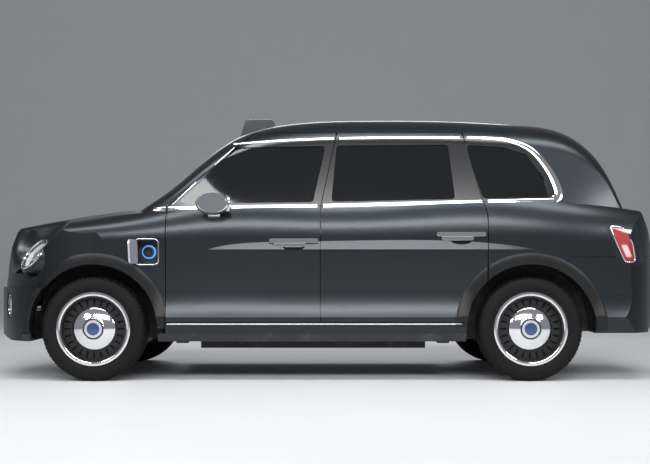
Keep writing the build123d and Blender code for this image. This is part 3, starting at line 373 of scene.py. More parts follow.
def tyre_mesh(centre, k):
    """A tyre on the wheel at X centre on side k, its section turned block by block."""
    section = [(r, -h) for r, h in reversed(TYRE_HALF[1:])] + TYRE_HALF
    points = []
    for block in range(BLOCKS):
        for share, cut in BLOCK_STEPS:
            angle = 2 * pi * (block + share) / BLOCKS
            for radius, out in section:
                shoulder = SHOULDER_FROM < abs(out) < SHOULDER_TO and radius > SHOULDER_RADIUS
                radius -= CUT_DEPTH * cut * shoulder
                x, z = centre + radius * cos(angle), AXLE_HIGH + radius * sin(angle)
                points.append((x, k * (TRACK_HALF + out), z))
    return points, ring_faces(BLOCKS * len(BLOCK_STEPS), len(section), "joined")


for place, centre in WHEEL_X.items():
    for side, k in SIDES:
        body = f"road_wheel_{place}_{side}"
        made = piece(f"road_tyre_{place}_{side}", *tyre_mesh(centre, k), rubber, body, "tyre")
        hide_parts(f"tyre_{place}_{side}")


# Wheels: near-black painted pressed steel with a ring of slots, a polished trim ring clipped over
# the rim's edge, and a polished domed cap with a plain blue disc in the middle.
wheel_paint, spot = new_finish("wheel_paint", (0.035, 0.037, 0.04), 0.42, 0.4)
brake_dust = spot.noise(24.0, 5.0)
feed(
    wheel_paint,
    Base_Color=brake_dust.blend(rgb(0.007, 0.0075, 0.008), rgb(0.018, 0.0165, 0.015)),
    Roughness=0.34 + brake_dust * 0.3,
)
for side, _ in SIDES:
    dress(wheel_paint, f"wheel_front_{side}", f"wheel_rear_{side}")
chrome, spot = new_finish("bright_chrome", (0.80, 0.81, 0.83), 0.07, 1.0)
smears = spot.noise(7.0, 5.0)
feed(
    chrome,
    Roughness=0.05 + smears * 0.07,
    Base_Color=smears.blend(rgb(0.84, 0.85, 0.87), rgb(0.74, 0.75, 0.77)),
)
cap_dark, spot = new_finish("cap_ring", (0.02, 0.02, 0.022), 0.3, Coat_Weight=0.6)
feed(cap_dark, Roughness=0.25 + spot.noise(60.0) * 0.15)
cap_pale, spot = new_finish("cap_pale", (0.62, 0.64, 0.66), 0.25, 0.6)
feed(cap_pale, Roughness=0.26 + spot.noise(20.0) * 0.06)
cap_blue, spot = new_finish("cap_blue", (0.02, 0.05, 0.16), 0.25, Coat_Weight=0.8)
feed(cap_blue, Base_Color=spot.noise(40.0).blend(rgb(0.016, 0.04, 0.13), rgb(0.03, 0.065, 0.19)))


def turned(profile, steps):
    """A closed shape turned about its own Z: profile gives radius and height, from the rim inwards."""
    points = [
        (radius * cos(2 * pi * i / steps), radius * sin(2 * pi * i / steps), height)
        for i in range(steps)
        for radius, height in profile
    ]
    return points, ring_faces(steps, len(profile), "joined")


def moved(shape, matrix):
    """A shape's points carried by a matrix, its faces as they were."""
    points, faces = shape
    return [matrix @ Vector(p) for p in points], faces


# Sections, as radius and distance out from the wheel's middle
TRIM_RING = [
    (0.2538, 0.0932), (0.2538, 0.0980), (0.2515, 0.1003), (0.2450, 0.1014),
    (0.2350, 0.1012), (0.2280, 0.1000), (0.2252, 0.0975), (0.2252, 0.0932),
]
HUB_CAP = [
    (0.1500, 0.0560), (0.1515, 0.0610), (0.1495, 0.0650), (0.1430, 0.0705), (0.1320, 0.0765),
    (0.1180, 0.0830), (0.1020, 0.0890), (0.0860, 0.0940), (0.0745, 0.0968), (0.0725, 0.0985),
    (0.0715, 0.0975), (0.0, 0.0972), (0.0, 0.0560),
]
# A dark disc behind the ring of slots: painted shade, standing in for the shade seen through them
SLOT_SHADE_DISC = [(0.2150, 0.0380), (0.2150, 0.0410), (0.1400, 0.0430), (0.1400, 0.0380)]
CAP_RING = [(0.0712, 0.0970), (0.0710, 0.0985), (0.0660, 0.0992), (0.0, 0.0992), (0.0, 0.0970)]
CAP_DISC = [(0.0600, 0.0985), (0.0598, 0.1000), (0.0570, 0.1006), (0.0, 0.1008), (0.0, 0.0985)]
CAP_BADGE = [(0.0436, 0.1000), (0.0434, 0.1012), (0.0400, 0.1020), (0.0, 0.1026), (0.0, 0.1000)]
# Section, steps round, finish and slot; the dark disc behind the slots is painted shade, a sheet that stands
# in for the shade inside the wheel
WHEEL_TRIM = {
    "trim_ring": (TRIM_RING, 96, chrome, "chrome"),
    "hub_cap": (HUB_CAP, 96, chrome, "chrome"),
    "wheel_shield": (SLOT_SHADE_DISC, 64, wheel_paint, "wheel_steel"),
    "cap_ring": (CAP_RING, 64, cap_dark, "chrome"),
    "cap_disc": (CAP_DISC, 64, cap_pale, "chrome"),
    "cap_badge": (CAP_BADGE, 64, cap_blue, "chrome"),
}
for place, centre in WHEEL_X.items():
    for side, k in SIDES:
        body = f"road_wheel_{place}_{side}"
        seat_on = Matrix(((1, 0, 0, centre), (0, 0, k, k * TRACK_HALF), (0, 1, 0, AXLE_HIGH), (0, 0, 0, 1)))
        for part, (profile, steps, finish, slot_name) in WHEEL_TRIM.items():
            shape = moved(turned(profile, steps), seat_on)
            piece(f"{part}_{place}_{side}", *shape, finish, body, slot_name)


# Wheel arch mouldings: satin black plastic bands clipped over the edges of the arches.
# The rear ones are in two lengths, and the front length swings with the rear door.
satin, spot = new_finish("satin_moulding", (0.006, 0.006, 0.007), 0.38, Specular_IOR_Level=0.3)
feed(
    satin,
    bump=spot.noise(1200.0, 2.0),
    height=0.00015,
    Base_Color=spot.noise(8.0, 4.0).blend(rgb(0.004, 0.0042, 0.0046), rgb(0.008, 0.0083, 0.009)),
    Roughness=0.34 + spot.noise(40.0, 3.0) * 0.10,
)


def surface_of(*nodes):
    """The outer faces of CAD nodes, for finding where a trim piece seats."""
    points, faces = [], []
    for node in nodes:
        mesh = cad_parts[node].data
        start = len(points)
        points += [v.co.copy() for v in mesh.vertices]
        faces += [[start + i for i in p.vertices] for p in mesh.polygons]
    return BVHTree.FromPolygons(points, faces)


# The right side has no charge opening, so its skin, turned over, seats the trim of both sides
side_skin = surface_of(
    "front_wing_right", "door_front_right", "door_rear_right", "body_side_right",
    "front_bumper", "rear_bumper", "roof",
)
GAP_REACH = 0.009
# A ray starts this far out, and a face nearer to the middle than the least isn't the side's skin
BESIDE_CAB, LEAST_OUT = 1.4, 0.70


def on_side(x, z):
    """The left side's skin at X and Z: a point and the way it faces. A seam takes the skin next to it."""
    found = []
    for dx, dz in ((0, 0), (-GAP_REACH, 0), (GAP_REACH, 0), (0, -GAP_REACH), (0, GAP_REACH)):
        hit, normal, _, _ = side_skin.ray_cast(Vector((x + dx, BESIDE_CAB, z + dz)), Vector((0, -1, 0)))
        if hit and hit.y > LEAST_OUT:
            if normal.y < 0:
                normal = -normal
            found.append((hit.y, normal))
            if not (dx or dz):
                break
    if not found:
        return None
    high, normal = max(found, key=lambda f: f[0])
    return Vector((x, -high, z)), Vector((normal.x, -normal.y, normal.z)).normalized()


def mirrored(shape, k):
    """A left-hand shape for side k: -1 keeps it, 1 turns it over to the right."""
    points, faces = shape
    return [Vector((p[0], -k * p[1], p[2])) for p in points], faces


# Section of a moulding: radius from the wheel's middle, and how far it stands out from the skin
MOULDING = [
    (0.4385, -0.045), (0.4385, 0.004), (0.4420, 0.0095), (0.4500, 0.0115), (0.4700, 0.0120), (0.4950, 0.0105),
    (0.5120, 0.0080), (0.5200, 0.0045), (0.5230, -0.0040),
]
ARCH_SKIN_FROM = 0.447
ARCH_STEP_DEG = 1.5
# The skin's depth for a moulding that begins off the edge of it
ARCH_DEPTH = -0.915


def arch_band(centre, from_deg, to_deg, keep, lip):
    """A left-hand moulding between two angles and two stations of X; its lip runs in by lip metres."""
    steps = round(abs(to_deg - from_deg) / ARCH_STEP_DEG)
    points = []
    depth = ARCH_DEPTH
    for i in range(steps + 1):
        angle = radians(from_deg + (to_deg - from_deg) * i / steps)
        for radius, proud in [(MOULDING[0][0], -lip), *MOULDING[1:]]:
            x = centre + radius * cos(angle)
            x = min(max(x, keep[0]), keep[1])
            z = AXLE_HIGH + radius * sin(angle)
            seat_radius = max(radius, ARCH_SKIN_FROM)
            seat_x = min(max(centre + seat_radius * cos(angle), keep[0]), keep[1])
            seat = on_side(seat_x, AXLE_HIGH + seat_radius * sin(angle))
            if seat:
                depth = seat[0].y
            points.append(Vector((x, depth - proud, z)))
    return points, ring_faces(steps + 1, len(MOULDING))


# body, wheel, first and last angle, lowest and highest X, depth of the lip towards the wheel liner
BANDS = {
    "front": ("body", -1.596, 1.0, 188.0, (-2.2, -1.1070), 0.110),
    "rear_door": ("door_rear", 1.389, 124.0, 178.0, (0.7, 1.0885), 0.045),
    "rear": ("body", 1.389, -2.0, 133.0, (1.0995, 2.2), 0.110),
}
for side, k in SIDES:
    for name, (body, centre, low, high, keep, lip) in BANDS.items():
        shape = mirrored(arch_band(centre, low, high, keep, lip), k)
        rides = body if body == "body" else f"{body}_{side}"
        piece(f"arch_moulding_{name}_{side}", *shape, satin, rides, "dark_plastic")


# Bright strips: polished steel pressed over the doors' edges. One runs along the belt below the
# windows, one over them and round the quarter glass, and a thin one along each sill.
def eased(knots, step):
    """Evenly spaced points on a smooth line through the knots."""
    ends = [Vector(k) for k in knots]
    ends = [2 * ends[0] - ends[1], *ends, 2 * ends[-1] - ends[-2]]
    line = []
    for a, b, c, d in zip(ends, ends[1:], ends[2:], ends[3:]):
        count = max(1, round((c - b).length / step))
        for i in range(count):
            t = i / count
            square, cube = (2 * a - 5 * b + 4 * c - d) * t**2, (3 * b - a - 3 * c + d) * t**3
            line.append(0.5 * (2 * b + (c - a) * t + square + cube))
    return line + [ends[-2]]


# A strip's section, as shares of its width and of its height
STRIP_SECTION = (
    (-0.5, -0.3), (-0.47, 0.45), (-0.36, 0.82), (-0.18, 1.0),
    (0.18, 1.0), (0.36, 0.82), (0.47, 0.45), (0.5, -0.3),
)


def strip(spots, widths, proud):
    """A rounded strip laid along spots, each a point on the skin and the way it faces."""
    points = []
    for i, (at, normal) in enumerate(spots):
        ahead = spots[min(i + 1, len(spots) - 1)][0] - spots[max(i - 1, 0)][0]
        across = normal.cross(ahead).normalized()
        width = widths[0] + (widths[1] - widths[0]) * i / (len(spots) - 1)
        for along, rise in STRIP_SECTION:
            points.append(at + across * (along * width) + normal * (rise * proud))
    return points, ring_faces(len(spots), len(STRIP_SECTION))


STRIP_STEP = 0.02


def side_strip(knots, widths, proud, low_x, high_x):
    """A strip on the left side along knots of X and Z, cut off at two stations along X."""
    line = [p for p in eased([(a, b, 0) for a, b in knots], STRIP_STEP) if low_x <= p.x <= high_x]
    return strip([s for s in (on_side(p.x, p.y) for p in line) if s], widths, proud)


BELT = [(-1.191, 1.177), (-0.6, 1.188), (0.019, 1.198), (0.8, 1.218), (1.56, 1.238)]
OVER = [
    (-0.690, 1.640), (-0.3, 1.662), (0.068, 1.676), (0.5, 1.682), (0.923, 1.684), (1.160, 1.680),
    (1.300, 1.655), (1.420, 1.590), (1.500, 1.500), (1.560, 1.400), (1.592, 1.310), (1.590, 1.262),
    (1.560, 1.242),
]
PILLAR_LINE = [(-1.066, 1.208), (-0.86, 1.408), (-0.648, 1.610)]
SILL_LINE = [(-1.090, 0.392), (0.0, 0.392), (0.935, 0.392)]
# body, knots, widths at both ends, height, lowest and highest X
STRIPS = {
    "belt_wing": ("body", BELT, (0.030, 0.033), 0.005, -1.20, -1.107),
    "belt_front": ("door_front", BELT, (0.033, 0.033), 0.005, -1.097, -0.053),
    "belt_rear": ("door_rear", BELT, (0.033, 0.034), 0.005, -0.040, 1.070),
    "belt_quarter": ("body", BELT, (0.034, 0.036), 0.005, 1.090, 1.57),
    "over_front": ("door_front", OVER, (0.020, 0.024), 0.005, -0.66, 0.050),
    "over_rear": ("door_rear", OVER, (0.024, 0.026), 0.005, 0.073, 0.935),
    "over_quarter": ("body", OVER, (0.026, 0.060), 0.005, 0.965, 1.62),
    "pillar_line": ("door_front", PILLAR_LINE, (0.009, 0.009), 0.004, -1.2, 0.0),
    "sill_line": ("body", SILL_LINE, (0.009, 0.009), 0.003, -1.2, 1.0),
}
for side, k in SIDES:
    for name, (body, knots, widths, proud, low_x, high_x) in STRIPS.items():
        shape = mirrored(side_strip(knots, widths, proud, low_x, high_x), k)
        rides = body if body == "body" else f"{body}_{side}"
        piece(f"strip_{name}_{side}", *shape, chrome, rides, "chrome")


# Door handles: a polished bar over the whole grip of each door, rounded at its ends, and a
# polished finger cup that shows below it.
HANDLES = {"front": (-0.228, 0.958), "rear": (0.912, 1.002)}
# move in X and Z, half length, half height, and how far out the foot and the face are
HANDLE_PARTS = {
    "bar": (0.0, 0.0, 0.1692, 0.0165, 0.900, 0.9398),
    "cup": (-0.025, -0.024, 0.110, 0.020, 0.890, 0.9300),
}
BAR_STEPS = 40
# The rounded edge: how far it lies in from the face, and its share of the half height
BAR_EDGE = ((0.006, 1.0), (0.002, 0.93), (0.0, 0.80))


def bar_cover(x, z, half_long, half_high, foot, face):
    """A rounded bar on the left side, from its foot in the door out to its face."""
    end = half_long - half_high
    points = []
    for out, share in ((foot, 1.0), *((face - back, share) for back, share in BAR_EDGE)):
        for i in range(BAR_STEPS):
            angle = 2 * pi * i / BAR_STEPS
            radius = half_high * share
            middle = x + (end if cos(angle) > 0 else -end)
            points.append((middle + radius * cos(angle), -out, z + radius * sin(angle)))
    return points, ring_faces(1 + len(BAR_EDGE), BAR_STEPS)


for place, (x, z) in HANDLES.items():
    for side, k in SIDES:
        for part, (dx, dz, *sizes) in HANDLE_PARTS.items():
            shape = mirrored(bar_cover(x + dx, z + dz, *sizes), k)
            piece(f"handle_{part}_{place}_{side}", *shape, chrome, f"door_{place}_{side}", "chrome")

# Door mirrors: polished shells on short arms, with silvered glass that faces back. The grille has
# the same polish.
dress(chrome, "mirror_left", "mirror_right", "grille")
silvered, spot = new_finish("silvered_glass", (0.72, 0.75, 0.78), 0.03, 1.0)
feed(silvered, Roughness=0.02 + spot.noise(5.0, 4.0) * 0.04)
MIRROR_SPOT, MIRROR_TURN = (-0.662, 0.962, 1.205), 0.12
MIRROR_HALF_WIDE, MIRROR_HALF_HIGH = 0.046, 0.058
# Share of the half sizes, and height over the mirror's plane
MIRROR_GLASS = [(1.0, -0.022), (1.0, 0.001), (0.95, 0.0035), (0.0, 0.004), (0.0, -0.022)]
for side, k in SIDES:
    facing = Vector((1.0, -MIRROR_TURN * k, 0.0)).normalized()
    across = Vector((0, 0, 1)).cross(facing).normalized()
    stand = Matrix((
        (across.x * MIRROR_HALF_WIDE, 0.0, facing.x, MIRROR_SPOT[0]),
        (across.y * MIRROR_HALF_WIDE, 0.0, facing.y, k * MIRROR_SPOT[1]),
        (0.0, MIRROR_HALF_HIGH, facing.z, MIRROR_SPOT[2]),
        (0, 0, 0, 1),
    ))
    shape = moved(turned(MIRROR_GLASS, 48), stand)
    piece(f"mirror_glass_{side}", *shape, silvered, f"door_front_{side}", "glass")

# Headlamps: a polished bezel round a dark bowl, with a ring of light, a silvered eye and a clear
# domed cover, in a painted shell that a painted fillet joins to the bonnet's edge. The fog lamps
# below are upright ovals, built the same way.
lens, spot = new_finish(
    "lamp_cover", (0.20, 0.22, 0.25), 0.03, Alpha=0.14, Coat_Weight=0.6, Coat_Roughness=0.01
)
feed(lens, Roughness=0.02 + spot.noise(6.0, 3.0) * 0.04)
bowl, spot = new_finish("lamp_bowl", (0.13, 0.135, 0.145), 0.16, 1.0)
flutes = spot.noise(90.0, 1.0)
feed(bowl, bump=flutes, height=0.0008, Roughness=0.12 + flutes * 0.12)
light_ring, spot = new_finish("light_ring", (0.86, 0.90, 0.95), 0.3)
feed(light_ring, Base_Color=spot.noise(50.0).blend(rgb(0.80, 0.85, 0.92), rgb(0.92, 0.95, 0.98)))
# Where the lamps are, which way they and the wing beside them face, and their half sizes
LAMP_SPOT, LAMP_FACE, LAMP_RADIUS = (-2.040, 0.735, 0.869), (-0.63, 0.50, 0.60), 0.132
FOG_SPOT, FOG_FACE, FOG_HALF_SIZES = (-2.222, 0.668, 0.513), (-0.85, 0.52, 0.0), (0.058, 0.088)
WING_FACE = (-0.66, 0.25, 0.71)
LAMP_STEPS = 72
# Radius and height over the lens plane of a headlamp of radius 1
BEZEL = [
    (1.0, -0.30), (1.0, 0.02), (0.985, 0.055), (0.95, 0.075), (0.90, 0.065), (0.885, 0.03),
    (0.885, -0.30),
]
BOWL = [
    (0.885, 0.0), (0.80, -0.18), (0.62, -0.34), (0.40, -0.44), (0.0, -0.48), (0.0, -0.58),
    (0.885, -0.58),
]
COVER = [
    (0.90, 0.02), (0.80, 0.085), (0.62, 0.135), (0.36, 0.168), (0.0, 0.180),
    (0.0, 0.150), (0.36, 0.138), (0.62, 0.106), (0.80, 0.055), (0.90, -0.01),
]
LIT_RING = [
    (0.80, -0.16), (0.80, -0.10), (0.77, -0.07), (0.72, -0.08), (0.70, -0.12), (0.70, -0.26),
    (0.80, -0.20),
]
EYE = [(0.30, -0.45), (0.30, -0.16), (0.26, -0.08), (0.16, -0.03), (0.0, -0.01), (0.0, -0.45)]


def lamp_seat(spot_at, facing, k, wide, high):
    """The matrix that carries a lamp of radius 1 to its place on side k."""
    out = Vector((facing[0], facing[1] * k, facing[2])).normalized()
    up = (Vector((0, 0, 1)) - out * out.z).normalized()
    across = up.cross(out)
    at = Vector((spot_at[0], spot_at[1] * k, spot_at[2]))
    deep = max(wide, high)
    rows = [(across[i] * wide, up[i] * high, out[i] * deep, at[i]) for i in range(3)]
    return Matrix((*rows, (0, 0, 0, 1)))


LAMP_PARTS = {
    "bezel": (BEZEL, chrome, "chrome"),
    "bowl": (BOWL, bowl, "chrome"),
    "lit_ring": (LIT_RING, light_ring, "lamp_clear"),
    "eye": (EYE, silvered, "lamp_clear"),
    "cover": (COVER, lens, "lamp_clear"),
}
nose_top = surface_of("bonnet", "front_bumper")
SHELL = [(1.0, 0.03), (1.05, 0.0), (1.09, -0.12), (1.11, -0.35), (1.10, -0.85), (0.90, -0.87), (0.90, 0.0)]
# The fillet: how far out the bonnet's edge is, the lamp's rim, and the nearest it comes to the
# lamp's middle line
FILLET_WALL, FILLET_RIM, FILLET_END = 0.549, 0.137, 0.040
# Its stations up the wing's slope: the first, the step and how many are tried
FILLET_FIRST, FILLET_STEP, FILLET_STATIONS = -0.20, 0.01, 64
# How far inside the edge the bonnet is felt, the lowest rise that counts, and the fillet's height
# over the wing at the rim and depth in it
FELT_INSIDE, LEAST_RISE, FILLET_PROUD, FILLET_SUNK = 0.012, 0.003, 0.002, 0.006
# How level the curve leaves the bonnet and meets the wing, as shares of its length
LEAVES, MEETS, CURVE_STEPS = 0.45, 0.35, 12


def lamp_fillet():
    """The left wing's fillet from the bonnet's edge down to the lamp's rim."""
    seat_on = lamp_seat(LAMP_SPOT, WING_FACE, -1, 1.0, 1.0)
    back = seat_on.inverted()
    across, up, out, at = (seat_on.col[i].xyz for i in range(4))
    sections = []
    for i in range(FILLET_STATIONS):
        climb = FILLET_FIRST + FILLET_STEP * i
        rise = 0.1
        # the edge's place hangs on the rise there, so both are found by turns
        for _ in range(4):
            edge = (-FILLET_WALL - at.y - up.y * climb - out.y * rise) / across.y
            hit = nose_top.ray_cast(seat_on @ Vector((edge - FELT_INSIDE, climb, 0.5)), -out)[0]
            rise = (back @ hit).z if hit else 0.0
        if rise < LEAST_RISE:
            if sections:
                break
            continue
        end = -max(FILLET_END, max(0.0, FILLET_RIM**2 - climb**2) ** 0.5)
        foot = (-FILLET_WALL - at.y - up.y * climb + out.y * FILLET_SUNK) / across.y
        curve = (
            (edge, rise),
            (edge + LEAVES * (end - edge), rise),
            (end - MEETS * (end - edge), FILLET_PROUD),
            (end, FILLET_PROUD),
        )
        section = []
        for j in range(CURVE_STEPS + 1):
            t = j / CURVE_STEPS
            shares = ((1 - t) ** 3, 3 * t * (1 - t) ** 2, 3 * t**2 * (1 - t), t**3)
            a, n = (sum(s * c[m] for s, c in zip(shares, curve)) for m in (0, 1))
            section.append(seat_on @ Vector((a, climb, n)))
        section += [seat_on @ Vector((a, climb, -FILLET_SUNK)) for a in (end, foot)]
        sections.append(section)
    points = [p for section in sections for p in section]
    return points, ring_faces(len(sections), len(sections[0]))


for side, k in SIDES:
    piece(f"lamp_fillet_{side}", *mirrored(lamp_fillet(), k), paint, "body", "paint")
    seats = {
        "headlamp": lamp_seat(LAMP_SPOT, LAMP_FACE, k, LAMP_RADIUS, LAMP_RADIUS),
        "fog_lamp": lamp_seat(FOG_SPOT, FOG_FACE, k, *FOG_HALF_SIZES),
    }
    shell = moved(turned(SHELL, LAMP_STEPS), seats["headlamp"])
    piece(f"lamp_shell_{side}", *shell, paint, "body", "paint")
    for lamp_name, seat_on in seats.items():
        for part, (profile, finish, slot_name) in LAMP_PARTS.items():
            shape = moved(turned(profile, LAMP_STEPS), seat_on)
            made = piece(f"{lamp_name}_{part}_{side}", *shape, finish, "body", slot_name)
            if part == "bezel":
                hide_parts("front_lamps")

# Tail lamps: red lenses that follow the corner of the body, with a pale lamp in the middle and a
# polished rim.
red, spot = new_finish("tail_lens", (0.42, 0.012, 0.014), 0.08, Coat_Weight=1.0, Coat_Roughness=0.02)
x, y, z = separated(spot)
# The pale lamp: its middle in X and Z, its lean, one over half its width, and half its height
PALE_X, PALE_LEAN_FROM, PALE_LEAN, PALE_NARROW = 2.035, 0.90, 0.45, 42.0
PALE_Z, PALE_HALF_HIGH = 0.890, 0.048
pale = (1.0 - ((x - PALE_X + (z - PALE_LEAN_FROM) * PALE_LEAN) * PALE_NARROW).math("ABSOLUTE")) * 3.0
pale = pale.within() * ((PALE_HALF_HIGH - (z - PALE_Z).math("ABSOLUTE")) * 60.0).within()
# The lens as seen from the side, in X and Z; the corner panel round it is sprayed like the body
TAIL_LAMP = [(2.032, 0.813), (2.109, 0.818), (2.084, 0.941), (2.012, 1.052), (1.920, 1.064), (1.971, 0.941)]
tail_edges = [
    (start_x, start_z, start_z - end_z, end_x - start_x)
    for (start_x, start_z), (end_x, end_z) in zip(TAIL_LAMP, TAIL_LAMP[1:] + TAIL_LAMP[:1])
]
lit = (depth_inside(x, z, tail_edges) * EDGE_RISE).within()
RIBS_RADIANS_PER_METRE = 900.0
ribs = (z * RIBS_RADIANS_PER_METRE).math("SINE") * lit
lens_colour = pale.blend(rgb(0.30, 0.008, 0.010), rgb(0.62, 0.52, 0.50))
feed(
    red,
    bump=ribs,
    height=0.0006,
    Base_Color=lit.blend(rgb(0.018, 0.022, 0.027), lens_colour),
    Roughness=0.36 - lit * 0.27,
    Metallic=0.85 - lit * 0.85,
)
dress(red, "tail_lamps")


def rounded(corners, radius, steps=8):
    """The corners of an outline rounded off, as a closed line of 2-D points."""
    line, count = [], len(corners)
    for i in range(count):
        before, at, after = (Vector(corners[(i + j) % count]) for j in (-1, 0, 1))
        one, two = (before - at).normalized(), (after - at).normalized()
        reach = radius / max(0.2, (one - two).length / 2) * 0.9
        start, end = at + one * reach, at + two * reach
        for j in range(steps + 1):
            t = j / steps
            line.append((1 - t) ** 2 * start + 2 * t * (1 - t) * at + t**2 * end)
    return line


tail_line = rounded(TAIL_LAMP, 0.022)
tail_line.append(tail_line[0])
lamp_skin = surface_of("tail_lamps")
tail_spots = []
for p in tail_line:
    hit, normal, _, _ = lamp_skin.ray_cast(Vector((p.x, -BESIDE_CAB, p.y)), Vector((0, 1, 0)))
    if hit and hit.y < -0.5:  # the left lamp, not the right one behind it
        tail_spots.append((hit, normal if normal.y < 0 else -normal))
for side, k in SIDES:
    shape = mirrored(strip(tail_spots, (0.010, 0.010), 0.004), k)
    piece(f"tail_lamp_rim_{side}", *shape, chrome, "body", "chrome")


# Grille surround and number plates: a polished frame on the nose, and two blank plates of
# plastic, white in front and yellow behind.
nose_skin = surface_of("front_bumper", "bonnet", "grille")
tail_skin = surface_of("rear_bumper", "tailgate")
BEYOND_CAB = 3.0


def on_end(skin, heading, y, z):
    """The skin of the nose (heading -1) or the tail (heading 1) at Y and Z."""
    hit, normal, _, _ = skin.ray_cast(Vector((heading * BEYOND_CAB, y, z)), Vector((-heading, 0, 0)))
    if normal.x * heading < 0:
        normal = -normal
    return hit, normal


GRILLE_EDGE = [(-0.343, 0.691), (0.343, 0.691), (0.369, 1.009), (-0.369, 1.009)]
frame_line = rounded(GRILLE_EDGE, 0.055)
frame_spots = [on_end(nose_skin, -1, p.x, p.y) for p in [*frame_line, frame_line[0]]]
piece("grille_surround", *strip(frame_spots, (0.024, 0.024), 0.008), chrome, "body", "chrome")

plate_white, spot = new_finish("plate_white", (0.72, 0.73, 0.72), 0.35, Coat_Weight=0.5)
feed(plate_white, Roughness=0.3 + spot.noise(40.0) * 0.15)
plate_yellow, spot = new_finish("plate_yellow", (0.70, 0.48, 0.05), 0.35, Coat_Weight=0.5)
feed(plate_yellow, Roughness=0.3 + spot.noise(40.0) * 0.15)
PLATE_HALF_WIDE, PLATE_HALF_HIGH, PLATE_CORNER = 0.26, 0.0555, 0.012
# How far out from the skin, and share of the outline
PLATE_RINGS = ((-0.004, 1.0), (0.004, 1.0), (0.004 + 0.0015, 0.985))


def plate(skin, heading, z):
    """A blank plate with rounded corners, standing on the skin at the middle of the nose or tail."""
    low, high = z - PLATE_HALF_HIGH, z + PLATE_HALF_HIGH
    left, right = -PLATE_HALF_WIDE, PLATE_HALF_WIDE
    line = rounded([(left, low), (right, low), (right, high), (left, high)], PLATE_CORNER, 4)
    middle, _ = on_end(skin, heading, 0.0, z)
    points = [
        (middle.x + heading * out, p.x * share, z + (p.y - z) * share)
        for out, share in PLATE_RINGS
        for p in line
    ]
    return points, ring_faces(len(PLATE_RINGS), len(line))


PLATE_FRONT_HIGH, PLATE_REAR_HIGH = 0.590, 0.700
piece("plate_front", *plate(nose_skin, -1, PLATE_FRONT_HIGH), plate_white, "body", "sign")
piece("plate_rear", *plate(tail_skin, 1, PLATE_REAR_HIGH), plate_yellow, "body", "sign")

# Roof sign: a gloss black moulded pod on the front of the roof, with a blank amber window in its
# front that glows faintly.
sign_black, spot = new_finish("sign_housing", (0.02, 0.02, 0.024), 0.22, Coat_Weight=1.0)
feed(sign_black, Roughness=0.16 + spot.noise(20.0, 4.0) * 0.14)
dress(sign_black, "roof_sign")
amber, spot = new_finish("amber_window", (0.75, 0.30, 0.04), 0.25, Coat_Weight=0.8, Emission_Strength=0.12)
glow = spot.noise(12.0, 3.0)
feed(
    amber,
    Base_Color=glow.blend(rgb(0.72, 0.27, 0.035), rgb(0.85, 0.40, 0.07)),
    Emission_Color=glow.blend(rgb(0.8, 0.32, 0.04), rgb(0.9, 0.45, 0.08)),
)
# The middle of the window's lower and upper edges, and its outline: Y, and share of the way up
foot, head = Vector((-0.6385, 0, 1.765)), Vector((-0.6020, 0, 1.866))
SIGN_WINDOW, SIGN_CORNER = [(-0.255, 0.0), (0.255, 0.0), (0.255, 1.0), (-0.255, 1.0)], 0.02
# How far out from the pod, and share of the outline
SIGN_RINGS = ((-0.003, 1.0), (0.003, 1.0), (0.0045, 0.97))
lean = (head - foot).normalized()
outward = Vector((-lean.z, 0, lean.x))
sign_line = rounded(SIGN_WINDOW, SIGN_CORNER, 5)
points = [
    foot.lerp(head, 0.5 + (p.y - 0.5) * share) + outward * out + Vector((0, p.x * share, 0))
    for out, share in SIGN_RINGS
    for p in sign_line
]
piece("sign_window", points, ring_faces(len(SIGN_RINGS), len(sign_line)), amber, "body", "sign")

# Charge point: a silver flap, a polished rim round the opening, and a ring of blue light round
# the socket in it.
dress(cap_pale, "charge_flap")
blue_light, spot = new_finish("charge_light", (0.05, 0.25, 0.9), 0.3, Emission_Strength=1.6)
feed(blue_light, Emission_Color=spot.noise(60.0).blend(rgb(0.03, 0.20, 0.85), rgb(0.10, 0.42, 1.0)))
# The rim's middle line in X and Z, 4 mm outside the opening
RIM_CORNERS = [(-1.311, 0.796), (-1.147, 0.796), (-1.147, 0.972), (-1.311, 0.972)]
rim_line = rounded(RIM_CORNERS, 0.03)
rim_spots = [s for s in (on_side(p.x, p.y) for p in [*rim_line, rim_line[0]]) if s]
piece("charge_rim", *strip(rim_spots, (0.007, 0.007), 0.0025), chrome, "body", "chrome")
LIGHT_RING = [
    (0.0470, 0.0), (0.0470, 0.006), (0.0445, 0.008), (0.0400, 0.008), (0.0385, 0.006), (0.0385, 0.0),
]
SOCKET_X, SOCKET_Y, SOCKET_Z = -1.229, -0.805, 0.884
socket_seat = Matrix(((1, 0, 0, SOCKET_X), (0, 0, -1, SOCKET_Y), (0, 1, 0, SOCKET_Z), (0, 0, 0, 1)))
piece("charge_light_ring", *moved(turned(LIGHT_RING, 64), socket_seat), blue_light, "body", "lamp_clear")

# Seats: foam under black leather, sewn in channels. The driver's seat and the bench that spans
# the cabin behind it each stand on a moulded base.
leather, spot = new_finish("seat_leather", (0.03, 0.03, 0.033), 0.5)
hide = spot.node("ShaderNodeTexVoronoi", {"feature": "SMOOTH_F1"}, {"Vector": spot, "Scale": 420.0})
feed(
    leather,
    bump=hide,
    height=0.0005,
    Base_Color=spot.noise(16.0, 4.0).blend(rgb(0.024, 0.024, 0.027), rgb(0.046, 0.045, 0.046)),
    Roughness=0.42 + hide * 0.25,
)


CUSHION_ROWS, CUSHION_COLUMNS = 40, 64
# Powers that square a ball up along X, Y and Z; the lower, the flatter
CUSHION_POWERS = (0.72, 0.34, 0.34)
GROOVE_DEPTH, GROOVE_NARROW, GROOVE_FADE = 0.008, 3.5, 0.3


